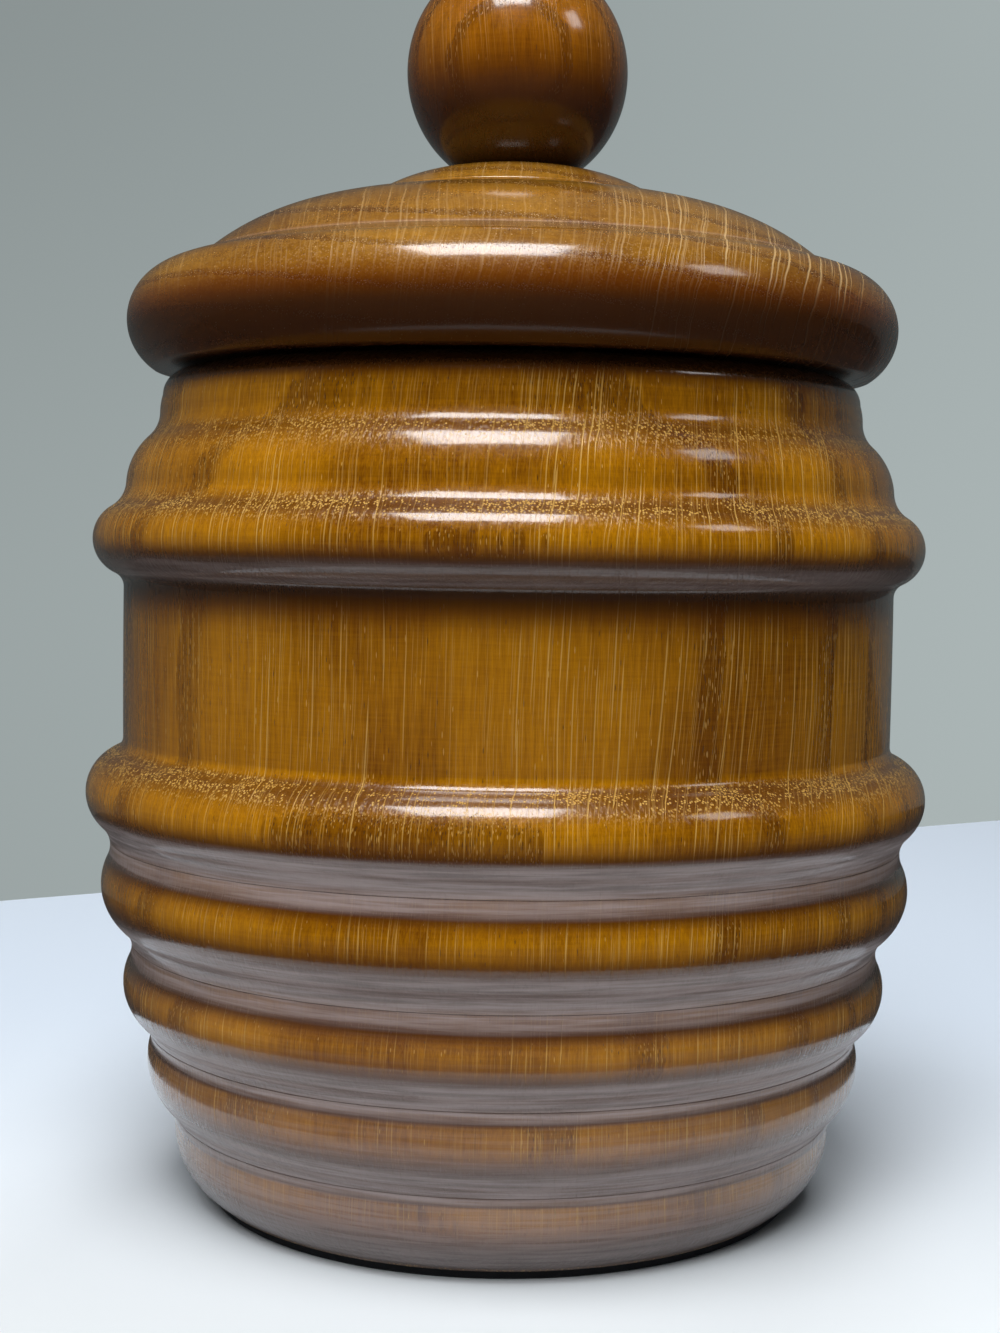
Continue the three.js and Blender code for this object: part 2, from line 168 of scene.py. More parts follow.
@dataclass(frozen=True)
class PaintedShade:
    """Painted shade where the wood faces down, by the way that it faces.

    Attributes:
        start: Angle above the level at which it starts, in degrees.
        full: Angle at which it is full.
        upper: Angle above which some of it is painted again, as the shadow of the next bead.
        upper_fade: In how many degrees past that it gets full.
        upper_most: How much of it is painted there.
    """

    start: float = 8.0
    full: float = -34.0
    upper: float = 180.0
    upper_fade: float = 28.0
    upper_most: float = 0.9

    def at(self, angle: float) -> float:
        """Gives the share of painted shade where the wood faces at an angle.

        Args:
            angle: The way the wood faces in the section, in radians.

        Returns:
            The share, from 0 to 1.
        """
        turned = math.degrees(math.remainder(angle, FULL_TURN))
        below = (self.start - turned) / (self.start - self.full)
        above = self.upper_most * min(1.0, (turned - self.upper) / self.upper_fade)
        return min(1.0, max(0.0, below, above))


@dataclass
class Outline:
    """Section of a turned piece, walked with the material on the left.

    Attributes:
        points: Radius and height of each point, in millimetres.
        hollows: For each point, 1 in the bottom of a groove and 0 on plain work, for the pale
        wax colour that also paints the table's reflection there and under the beads.
        painted_shades: For each point, how much shade is painted on it, from 0 to 1.
        step: Longest piece of an arc.
        most: Most pieces that an arc gets for its length.
        same: Distance under which two points are one.
    """

    points: list[Point] = field(default_factory=list)
    hollows: list[float] = field(default_factory=list)
    painted_shades: list[float] = field(default_factory=list)
    step: float = 0.45
    most: int = 60
    same: float = 1e-4

    def to(self, radius: float, height: float, hollow: float = 0.0, painted_shade: float = 0.0) -> "Outline":
        """Adds a straight stretch to a point.

        Args:
            radius: Radius of the point, in millimetres.
            height: Its height, in millimetres.
            hollow: How much pale wax colour, with painted reflection, goes there.
            painted_shade: How much shade is painted there.

        Returns:
            The outline.
        """
        self.points.append((radius, height))
        self.hollows.append(hollow)
        self.painted_shades.append(painted_shade)
        return self

    def line(self, radius: float, height: float, step: float = 3.0) -> "Outline":
        """Adds a straight stretch in short steps.

        Args:
            radius: Radius of its last point, in millimetres.
            height: Height of its last point, in millimetres.
            step: Longest step.

        Returns:
            The outline.
        """
        r0, z0 = self.points[-1]
        count = max(1, math.ceil(math.hypot(radius - r0, height - z0) / step))
        for i in range(1, count + 1):
            share = i / count
            self.to(r0 + (radius - r0) * share, z0 + (height - z0) * share)
        return self

    def arc(
        self, circle: Circle, start: float, end: float, painted_shade: Optional[PaintedShade] = None, wax_and_sheen: float = 0.0
    ) -> "Outline":
        """Adds an arc of a circle, without its first point if the outline is there.

        Args:
            circle: The circle to follow.
            start: First angle.
            end: Last angle.
            painted_shade: The shade painted on its underside.
            wax_and_sheen: How much pale wax colour, with painted reflection of the table, its underside
                gets.

        Returns:
            The outline.
        """
        sweep = end - start
        by_length = abs(sweep) * circle.radius / self.step
        count = max(2, math.ceil(max(min(by_length, self.most), abs(sweep) / ARC_STEP)))
        for i in range(count + 1):
            angle = start + sweep * i / count
            point = circle.at(angle)
            if not self.points or math.dist(point, self.points[-1]) >= self.same:
                under = (WAX_SHEEN_START - math.degrees(math.remainder(angle, FULL_TURN))) / WAX_SHEEN_FADE
                hollow = wax_and_sheen * min(WAX_SHEEN_MOST, max(0.0, under))
                self.to(*point, hollow, painted_shade.at(angle) if painted_shade else 0.0)
        return self

    def round(self, x: float, z: float, edge: float, start: float, end: float) -> "Outline":
        """Adds a rounded edge: its centre, its radius, and its two angles in degrees."""
        return self.arc(Circle(x, z, edge), math.radians(start), math.radians(end))

    def cove(self, circle: Circle, start: Point, end: Point, stretch: Stretch) -> "Outline":
        """Adds a cove between two points, with a fine cut line in its bottom if asked.

        Args:
            circle: The cove's circle.
            start: Point where the stretch below ends.
            end: Point where the stretch above begins.
            stretch: The stretch below, which says what the groove is like.

        Returns:
            The outline.
        """
        first = circle.angle_to(start)
        sweep = circle.angle_to(end) - first
        while sweep > 0:
            sweep -= FULL_TURN
        count = max(8, math.ceil(abs(sweep) / COVE_STEP) // 2 * 2)
        half_cut = CUT_HALF / circle.radius
        middle = first + sweep / 2
        for i in range(1, count + 1):
            angle = first + sweep * i / count
            share = i / count
            # The pale wax colour, with painted reflection of the table, grows towards the cove's upper
            # side. Shade is painted by the way the cove faces, and a scored groove gets a painted
            # shadow on its lower side, under the bead above.
            spread = math.sin(math.pi / 2 * min(1.0, share / 0.55)) if stretch.scored else share**2
            wax_and_sheen = stretch.wax_and_sheen * spread
            painted_shade = PaintedShade().at(angle + math.pi)
            if stretch.scored:
                painted_shade = max(painted_shade, 0.9 - 1.3 * share)
            if stretch.scored and i == count // 2:
                self.to(*circle.at(middle + half_cut), wax_and_sheen, painted_shade)
                self.to(*circle.at(middle, CUT_DEPTH), 1.0, 0.4)
                self.to(*circle.at(middle - half_cut), wax_and_sheen, painted_shade)
            else:
                self.to(*circle.at(angle), wax_and_sheen, painted_shade)
        return self

    def beads(self, stretches: Sequence[Stretch]) -> "Outline":
        """Adds a chain of bulging stretches, walked upwards from the last point.

        Args:
            stretches: The stretches, from the lowest up.

        Returns:
            The outline.
        """
        ends = [self.points[-1]] + [(s.radius, s.height) for s in stretches]
        circles = [circle_over(ends[i], ends[i + 1], s.swell) for i, s in enumerate(stretches)]
        for i, stretch in enumerate(stretches):
            circle, last = circles[i], ends[i + 1]
            cove = None
            if stretch.cove:
                cove = cove_circle(circle, circles[i + 1], stretch.cove)
                last = self._touch(circle, cove)
            start = circle.angle_to(self.points[-1])
            end = circle.angle_to(last)
            while end <= start:
                end += FULL_TURN
            wax_and_sheen = stretches[i - 1].wax_and_sheen if i else 0.0
            # Shade is painted on each bead's underside, and on the top of a bead under a scored groove,
            # as the shadow of the bead above.
            self.arc(circle, start, end, PaintedShade(upper=8.0) if stretch.scored else PaintedShade(), wax_and_sheen)
            if cove:
                self.cove(cove, last, self._touch(circles[i + 1], cove), stretch)
        return self

    @staticmethod
    def _touch(circle: Circle, cove: Circle) -> Point:
        """Point where a circle and the cove outside it touch."""
        share = circle.radius / (circle.radius + cove.radius)
        return circle.x + (cove.x - circle.x) * share, circle.z + (cove.z - circle.z) * share

    def close(self) -> "Outline":
        """Ends the outline on its first point, for a piece with a hole through it."""
        return self.to(*self.points[0], self.hollows[0], self.painted_shades[0])

    def shade(self, low: float, high: float, top: float, least: float) -> "Outline":
        """Paints shade on a stretch of the outside, more and more from one height up to another.

        Args:
            low: Height where the stain starts.
            high: Height where it is full.
            top: Height where it ends.
            least: Radius past which a point is outside.

        Returns:
            The outline.
        """
        for i, (radius, height) in enumerate(self.points):
            if radius > least and low < height <= top:
                share = min(1.0, (height - low) / (high - low))
                self.painted_shades[i] = max(self.painted_shades[i], share * share)
        return self


def as_object(name: str, bm: Mesh, crease: float = 35.0) -> Piece:
    """Puts a finished mesh in the scene, smooth except at its sharp edges.

    Args:
        name: Name of the piece.
        bm: The mesh, in metres and in place. It is freed.
        crease: Angle past which an edge stays sharp, in degrees.

    Returns:
        The new object, at the origin.
    """
    mesh = bpy.data.meshes.new(name)
    bm.to_mesh(mesh)
    bm.free()
    mesh.shade_smooth()
    mesh.set_sharp_from_angle(angle=math.radians(crease))
    piece = bpy.data.objects.new(name, mesh)
    bpy.context.scene.collection.objects.link(piece)
    return piece


def spun(outline: Outline, around: int) -> Mesh:
    """Turns an outline round the Z axis.

    Args:
        outline: The outline, in millimetres.
        around: Number of steps in the full turn.

    Returns:
        A closed mesh in metres, with the attributes "hollow", for the pale wax colour and painted
        reflection, and "painted_shade".
    """
    bm = bmesh.new()
    wax_and_sheen = bm.verts.layers.float.new("hollow")
    shade_layer = bm.verts.layers.float.new("painted_shade")
    row = []
    for (radius, height), hollow, painted_shade in zip(outline.points, outline.hollows, outline.painted_shades):
        vert = bm.verts.new((radius * MM, 0.0, height * MM))
        vert[wax_and_sheen] = hollow
        vert[shade_layer] = painted_shade
        row.append(vert)
    edges = [bm.edges.new(pair) for pair in zip(row, row[1:])]
    bmesh.ops.spin(
        bm, geom=row + edges, cent=(0, 0, 0), axis=(0, 0, 1),
        angle=FULL_TURN, steps=around, use_merge=True, use_duplicate=False,
    )
    bmesh.ops.remove_doubles(bm, verts=bm.verts, dist=2e-6)
    bmesh.ops.recalc_face_normals(bm, faces=bm.faces)
    return bm


def drill(piece: Piece, cutters: Mesh) -> None:
    """Takes a mesh of cutters out of a piece.

    Args:
        piece: The piece to drill.
        cutters: The cutters, in place. The mesh is freed.
    """
    tool = as_object("cutter", cutters)
    modifier = piece.modifiers.new("drill", "BOOLEAN")
    modifier.operation = "DIFFERENCE"
    modifier.solver = "EXACT"
    modifier.object = tool
    graph = bpy.context.evaluated_depsgraph_get()
    cut = bpy.data.meshes.new_from_object(piece.evaluated_get(graph))
    piece.modifiers.clear()
    old, piece.data = piece.data, cut
    cut.name = piece.name
    bpy.data.meshes.remove(old)
    tool_mesh = tool.data
    bpy.data.objects.remove(tool)
    bpy.data.meshes.remove(tool_mesh)


# Shader graphs


class Graph:
    """Short way to add and link the nodes of one tree."""

    def __init__(self, tree: bpy.types.NodeTree) -> None:
        """Starts on an emptied tree."""
        self.tree = tree

    def add(self, kind: str, **settings: object) -> Node:
        """Adds a node of a kind with its settings.

        Args:
            kind: Name of the node's type.
            settings: The node's own properties, by name.

        Returns:
            The node.
        """
        node = self.tree.nodes.new(kind)
        for key, value in settings.items():
            setattr(node, key, value)
        return node

    def feed(self, socket: Socket, value: Feed) -> None:
        """Gives a socket a link, a number or a colour.

        Args:
            socket: The input to feed.
            value: What it gets.
        """
        if isinstance(value, Socket):
            self.tree.links.new(value, socket)
        elif socket.type == "RGBA" and len(value) == 3:
            socket.default_value = (*value, 1.0)
        else:
            socket.default_value = value

    def math(self, operation: str, *values: Feed, clamp: bool = False) -> Socket:
        """Adds a Math node on up to three values.

        Args:
            operation: What it works out.
            values: Its inputs, in order.
            clamp: Whether the result is kept from 0 to 1.

        Returns:
            The result.
        """
        node = self.add("ShaderNodeMath", operation=operation, use_clamp=clamp)
        for socket, value in zip(node.inputs, values):
            self.feed(socket, value)
        return node.outputs[0]

    def times(self, one: Feed, two: Feed) -> Socket:
        """Multiplies two values."""
        return self.math("MULTIPLY", one, two)

    def over(self, base: Feed, layer: Feed, share: Feed, clamp: bool = False) -> Socket:
        """Adds a share of a layer to a base."""
        return self.math("MULTIPLY_ADD", layer, share, base, clamp=clamp)

    def most(self, *values: Feed) -> Socket:
        """Gives the greatest of two or more values."""
        return functools.reduce(lambda one, two: self.math("MAXIMUM", one, two), values)

    def vector(self, operation: str, *values: Feed, scale: Optional[Feed] = None) -> Socket:
        """Adds a Vector Math node.

        Args:
            operation: What it works out.
            values: Its inputs, in order.
            scale: The number of a scaling.

        Returns:
            The vector, or the value of a dot product.
        """
        node = self.add("ShaderNodeVectorMath", operation=operation)
        for socket, value in zip(node.inputs, values):
            self.feed(socket, value)
        if scale is not None:
            self.feed(node.inputs["Scale"], scale)
        return node.outputs["Value" if operation == "DOT_PRODUCT" else "Vector"]

    def split(self, vector: Feed) -> tuple[Socket, ...]:
        """Splits a vector.

        Args:
            vector: The vector to split.

        Returns:
            Its X, Y and Z.
        """
        node = self.add("ShaderNodeSeparateXYZ")
        self.feed(node.inputs[0], vector)
        return tuple(node.outputs)

    def join(self, x: Feed, y: Feed, z: Feed) -> Socket:
        """Joins three values into a vector.

        Args:
            x: First value.
            y: Second value.
            z: Third value.

        Returns:
            The vector.
        """
        node = self.add("ShaderNodeCombineXYZ")
        for socket, value in zip(node.inputs, (x, y, z)):
            self.feed(socket, value)
        return node.outputs[0]

    def noise(
        self, vector: Feed, scale: Union[float, Colour], detail: float = 2.0, rough: float = 0.5
    ) -> Socket:
        """Adds a noise.

        Args:
            vector: Where it is read.
            scale: Its scale, or one along each axis.
            detail: How many finer layers it has.
            rough: How strong the finer layers are.

        Returns:
            Its value, from 0 to 1.
        """
        if isinstance(scale, tuple):
            vector, scale = self.vector("MULTIPLY", vector, scale), 1.0
        node = self.add("ShaderNodeTexNoise", noise_dimensions="3D")
        self.feed(node.inputs["Vector"], vector)
        node.inputs["Scale"].default_value = scale
        node.inputs["Detail"].default_value = detail
        node.inputs["Roughness"].default_value = rough
        return node.outputs["Fac"]

    def attribute(self, name: str) -> Socket:
        """Reads a number that the mesh keeps at each vertex."""
        node = self.add("ShaderNodeAttribute", attribute_type="GEOMETRY", attribute_name=name)
        return node.outputs["Fac"]

    def cells(self, vector: Feed) -> Node:
        """Adds Voronoi cells of unit size.

        Args:
            vector: Where they are read.

        Returns:
            The node, for its distance and its colour.
        """
        node = self.add("ShaderNodeTexVoronoi", voronoi_dimensions="3D", feature="F1")
        self.feed(node.inputs["Vector"], vector)
        node.inputs["Scale"].default_value = 1.0
        return node

    def ramp(
        self, value: Feed, low: float, high: float, start: float = 0.0, end: float = 1.0
    ) -> Socket:
        """Maps a value smoothly from one range to another, clamped.

        Args:
            value: The value to map.
            low: Where the first range starts.
            high: Where it ends.
            start: Result at low.
            end: Result at high.

        Returns:
            The result.
        """
        node = self.add("ShaderNodeMapRange", interpolation_type="SMOOTHSTEP", clamp=True)
        ends = {"Value": value, "From Min": low, "From Max": high, "To Min": start, "To Max": end}
        for key, number in ends.items():
            self.feed(node.inputs[key], number)
        return node.outputs["Result"]

    def mix(self, factor: Feed, one: Feed, two: Feed) -> Socket:
        """Mixes two colours.

        Args:
            factor: Share of the second.
            one: First colour.
            two: Second colour.

        Returns:
            The mixed colour.
        """
        node = self.add("ShaderNodeMix", data_type="RGBA", clamp_factor=True)
        self.feed(node.inputs["Factor"], factor)
        self.feed(node.inputs[6], one)
        self.feed(node.inputs[7], two)
        return node.outputs[2]

    def bump(self, height: Feed, strength: float, distance: float) -> Socket:
        """Adds a Bump node.

        Args:
            height: Height of the surface, from 0 to 1.
            strength: How much of it shows.
            distance: Depth of a height of 1, in metres.

        Returns:
            The normal.
        """
        node = self.add("ShaderNodeBump")
        self.feed(node.inputs["Height"], height)
        node.inputs["Strength"].default_value = strength
        node.inputs["Distance"].default_value = distance
        return node.outputs["Normal"]


def group_tree(
    name: str, inputs: dict[str, object], outputs: dict[str, str]
) -> tuple[Graph, dict[str, Socket], Node]:
    """Makes an empty shader group with named sockets.

    Args:
        name: Name of the group.
        inputs: Each input's name with its default, a number, a colour or a vector.
        outputs: Each output's name with its socket type.

    Returns:
        The group's graph, its input sockets by name and its output node.
    """
    tree = bpy.data.node_groups.new(name, "ShaderNodeTree")
    for key, default in inputs.items():
        is_colour = key.endswith("Colour")
        kind = "Color" if is_colour else "Vector" if isinstance(default, tuple) else "Float"
        socket = tree.interface.new_socket(key, in_out="INPUT", socket_type=f"NodeSocket{kind}")
        socket.default_value = (*default, 1.0) if is_colour else default
    for key, kind in outputs.items():
        tree.interface.new_socket(key, in_out="OUTPUT", socket_type=kind)
    graph = Graph(tree)
    source = graph.add("NodeGroupInput")
    return graph, {key: source.outputs[key] for key in inputs}, graph.add("NodeGroupOutput")


class OakGrain:
    """Group that draws oak in the solid: growth rings round a pith, vessels and rays.

    The fibres run along Z of the vector that it is given, in metres. The rays are spaced
    as they are at ray_reach from the pith, in millimetres, and short_rays says how much
    smaller the short ones are.
    """

    ray_reach = 200.0
    short_rays = {"Ray Gap": 0.47, "Ray Length": 0.4, "Ray Width": 0.7}
    _tree: Optional[bpy.types.NodeTree] = None

    @classmethod
    def tree(cls) -> bpy.types.NodeTree:
        """Builds the group the first time.

        Returns:
            The group.
        """
        if cls._tree is None:
            cls._tree = cls._build()
        return cls._tree

    @classmethod
    def _build(cls) -> bpy.types.NodeTree:
        """Builds the group's nodes.

        Returns:
            The group.
        """
        inputs = {
            "Vector": (0.0, 0.0, 0.0),
            "Turned": (0.0, 0.0, 0.0),
            "End Grain": 0.0,
            "Pith": (0.0, 150.0, 0.0),
            "Ring Width": 4.0,
            "Ray Gap": 1.5,
            "Ray Length": 20.0,
            "Ray Width": 0.12,
            "Ray Amount": 1.0,
            "Rib Depth": 1.0,
            "Light Colour": (0.5, 0.3, 0.05),
            "Dark Colour": (0.2, 0.08, 0.01),
            "Ray Colour": (0.8, 0.6, 0.3),
            "Pore Colour": (0.05, 0.02, 0.005),
        }
        outputs = {key: "NodeSocketFloat" for key in ("Roughness", "Height", "Gaps")}
        outputs["Color"] = "NodeSocketColor"
        g, i, out = group_tree("oak_grain", inputs, outputs)

        place = g.vector("SCALE", i["Vector"], scale=1 / MM)
        away = g.vector("SUBTRACT", cls._swayed(g, place), i["Pith"])
        x, y, z = g.split(away)
        reach = g.math("SQRT", g.math("ADD", g.times(x, x), g.times(y, y)))
        arc = g.times(g.math("ARCTAN2", x, g.times(y, -1.0)), cls.ray_reach)

        # Growth rings, uneven in width, each starting with a porous band.
        uneven = g.noise(g.join(g.times(reach, 0.06), 0.0, 0.0), 1.0, 1.0)
        ring = g.over(g.math("DIVIDE", reach, i["Ring Width"]), uneven, 0.7)
        ragged = g.noise(place, (0.9, 0.9, 0.12))
        phase = g.math("FRACT", g.over(ring, ragged, 0.16))
        early = g.times(g.ramp(phase, 0.0, 0.05), g.ramp(phase, 0.3, 0.1))
        late = g.ramp(phase, 0.25, 1.0)

        # Vessels: fine tubes, many of them filled with pale wax, crowded in the porous band.
        crowd = g.ramp(g.over(early, ragged, 0.5), 0.35, 1.2)
        dash = g.cells(g.vector("MULTIPLY", place, (4.5, 4.5, 0.7)))
        chance, other, _ = g.split(dash.outputs["Color"])
        open_here = g.math("LESS_THAN", chance, g.over(0.05, crowd, 0.7))
        dashes = g.times(g.ramp(dash.outputs["Distance"], 0.45, 0.15), open_here)
        filled = g.times(dashes, g.math("GREATER_THAN", other, 0.55))
        pores = g.math("SUBTRACT", dashes, filled)

        # Fibre: fine streaks along the grain, with broader ones under them, and turning marks.
        fine = g.noise(place, (6.0, 6.0, 0.25), 3.0, 0.65)
        broad = g.noise(place, (0.6, 0.6, 0.02), 3.0, 0.6)
        ribs = g.noise(place, (1.5, 1.5, 0.08), 1.0)
        patch = g.noise(place, (0.035, 0.035, 0.02))
        turned = g.noise(g.vector("SCALE", i["Turned"], scale=1 / MM), (0.12, 0.12, 2.4), 3.0, 0.6)

        # Rays: long ones, and between them short ones that are thinner and weaker.
        spot = (g, arc, reach, z, place)
        long_rays = cls._rays(*spot, i["Ray Gap"], i["Ray Length"], i["Ray Width"])
        shrunk = (g.times(i[key], share) for key, share in cls.short_rays.items())
        rays = g.most(long_rays, g.times(cls._rays(*spot, *shrunk), 0.5))
        bunched = g.noise(place, (0.05, 0.02, 0.01), 1.0)
        rays = g.times(rays, g.ramp(bunched, 0.3, 0.62, 0.25, 1.0))
        rays = g.times(rays, i["Ray Amount"])

        # End grain: pale dots where the vessels are cut across, in rows along the rings.
        dots = g.cells(g.vector("MULTIPLY", place, (2.8, 2.8, 1.3)))
        lot, _, _ = g.split(dots.outputs["Color"])
        rows = g.over(g.noise(place, (0.06, 0.06, 0.8), 2.0, 0.6), early, 0.2)
        rows = g.ramp(rows, 0.38, 0.62, 0.12, 0.95)
        open_ends = g.times(g.ramp(dots.outputs["Distance"], 0.5, 0.3), g.math("LESS_THAN", lot, rows))
        open_ends = g.times(open_ends, i["End Grain"])

        # Tone, from the dark colour at 0 to the light one at 1: each layer adds its share.
        layers = (
            (fine, 0.25, 0.75, 0.3), (ribs, 0.3, 0.7, 0.16), (broad, 0.3, 0.7, 0.14),
            (patch, 0.35, 0.65, 0.42), (turned, 0.3, 0.7, 0.12),
        )
        tone = -0.02
        for layer, low, high, share in layers:
            tone = g.over(tone, g.ramp(layer, low, high), share)
        tone = g.over(g.over(tone, late, -0.08), crowd, -0.22, clamp=True)
        colour = g.mix(tone, i["Dark Colour"], i["Light Colour"])
        deep = g.mix(0.5, i["Pore Colour"], i["Dark Colour"])
        colour = g.mix(g.most(g.times(i["End Grain"], 0.75), g.times(early, 0.3)), colour, deep)
        colour = g.mix(g.times(pores, 0.75), colour, i["Pore Colour"])
        pale = g.most(rays, open_ends, g.times(filled, 0.7))
        g.feed(out.inputs["Color"], g.mix(g.times(pale, 0.8), colour, i["Ray Colour"]))
        g.feed(out.inputs["Gaps"], g.most(rays, dashes, open_ends))

        rough = g.over(g.over(0.2, dashes, 0.15), pale, 0.1)
        g.feed(out.inputs["Roughness"], g.over(rough, i["End Grain"], 0.12, clamp=True))
        height = g.math("SUBTRACT", g.times(fine, 0.2), dashes)
        height = g.over(height, ribs, g.times(i["Rib Depth"], 4.5))
        for layer, share in ((turned, 0.12), (rays, -1.2), (open_ends, -0.5)):
            height = g.over(height, layer, share)
        g.feed(out.inputs["Height"], height)
        return g.tree

    @staticmethod
    def _swayed(g: Graph, place: Socket) -> Socket:
        """Bends the trunk a little, so that rings and rays wander.

        Args:
            g: Graph of the group.
            place: Place in the wood, in millimetres.

        Returns:
            The bent place.
        """
        across, along = (
            g.over(-8.0, g.noise(g.vector("ADD", place, start), (0.012, 0.012, 0.009), 1.5), 16.0)
            for start in ((0.0, 0.0, 0.0), (90.0, 40.0, 10.0))
        )
        quick = g.over(-0.6, g.noise(place, (0.12, 0.12, 0.03), 1.0), 1.2)
        return g.vector("ADD", place, g.join(g.math("ADD", across, quick), along, 0.0))

    @staticmethod
    def _rays(
        g: Graph, arc: Feed, reach: Feed, z: Feed, place: Feed, gap: Feed, length: Feed, width: Feed
    ) -> Socket:
        """Draws the medullary rays: thin upright sheets that point away from the pith.

        Args:
            g: Graph of the group.
            arc: Distance round the pith.
            reach: Distance from the pith.
            z: Place along the fibres.
            place: Place in the wood, for the rays' wander.
            gap: Space from ray to ray.
            length: Length of a ray along the fibres.
            width: Half of a ray's thickness.

        Returns:
            1 in the middle of a ray and 0 off it.
        """
        wander = g.noise(place, (0.4, 0.4, 0.05), 1.0)
        arc = g.math("ADD", arc, g.over(-0.15, wander, 0.3))
        sizes = ((arc, gap), (reach, 26.0), (z, length))
        sheet = g.join(*(g.math("DIVIDE", way, size) for way, size in sizes))
        cell = g.cells(sheet)
        off_x, off_y, off_z = g.split(g.vector("SUBTRACT", sheet, cell.outputs["Position"]))
        middle = g.math("ADD", g.times(off_z, off_z), g.times(off_y, off_y))
        chance, _, _ = g.split(cell.outputs["Color"])
        half = g.times(g.over(0.4, chance, 0.9), g.ramp(middle, 0.32, 0.12))
        half = g.most(g.times(half, width), 0.001)
        aside = g.times(g.math("ABSOLUTE", off_x), gap)
        ray = g.math("SUBTRACT", 1.0, g.math("DIVIDE", aside, half), clamp=True)
        return g.times(g.math("POWER", ray, 0.5), g.ramp(chance, 0.05, 0.8))


class Grain(Enum):
    """Which way the fibres of a piece run: the turn that brings them to Z."""

    UPRIGHT = (0.0, 0.0, 0.0)
    FRONT_TO_BACK = (math.radians(90), 0.0, 0.0)


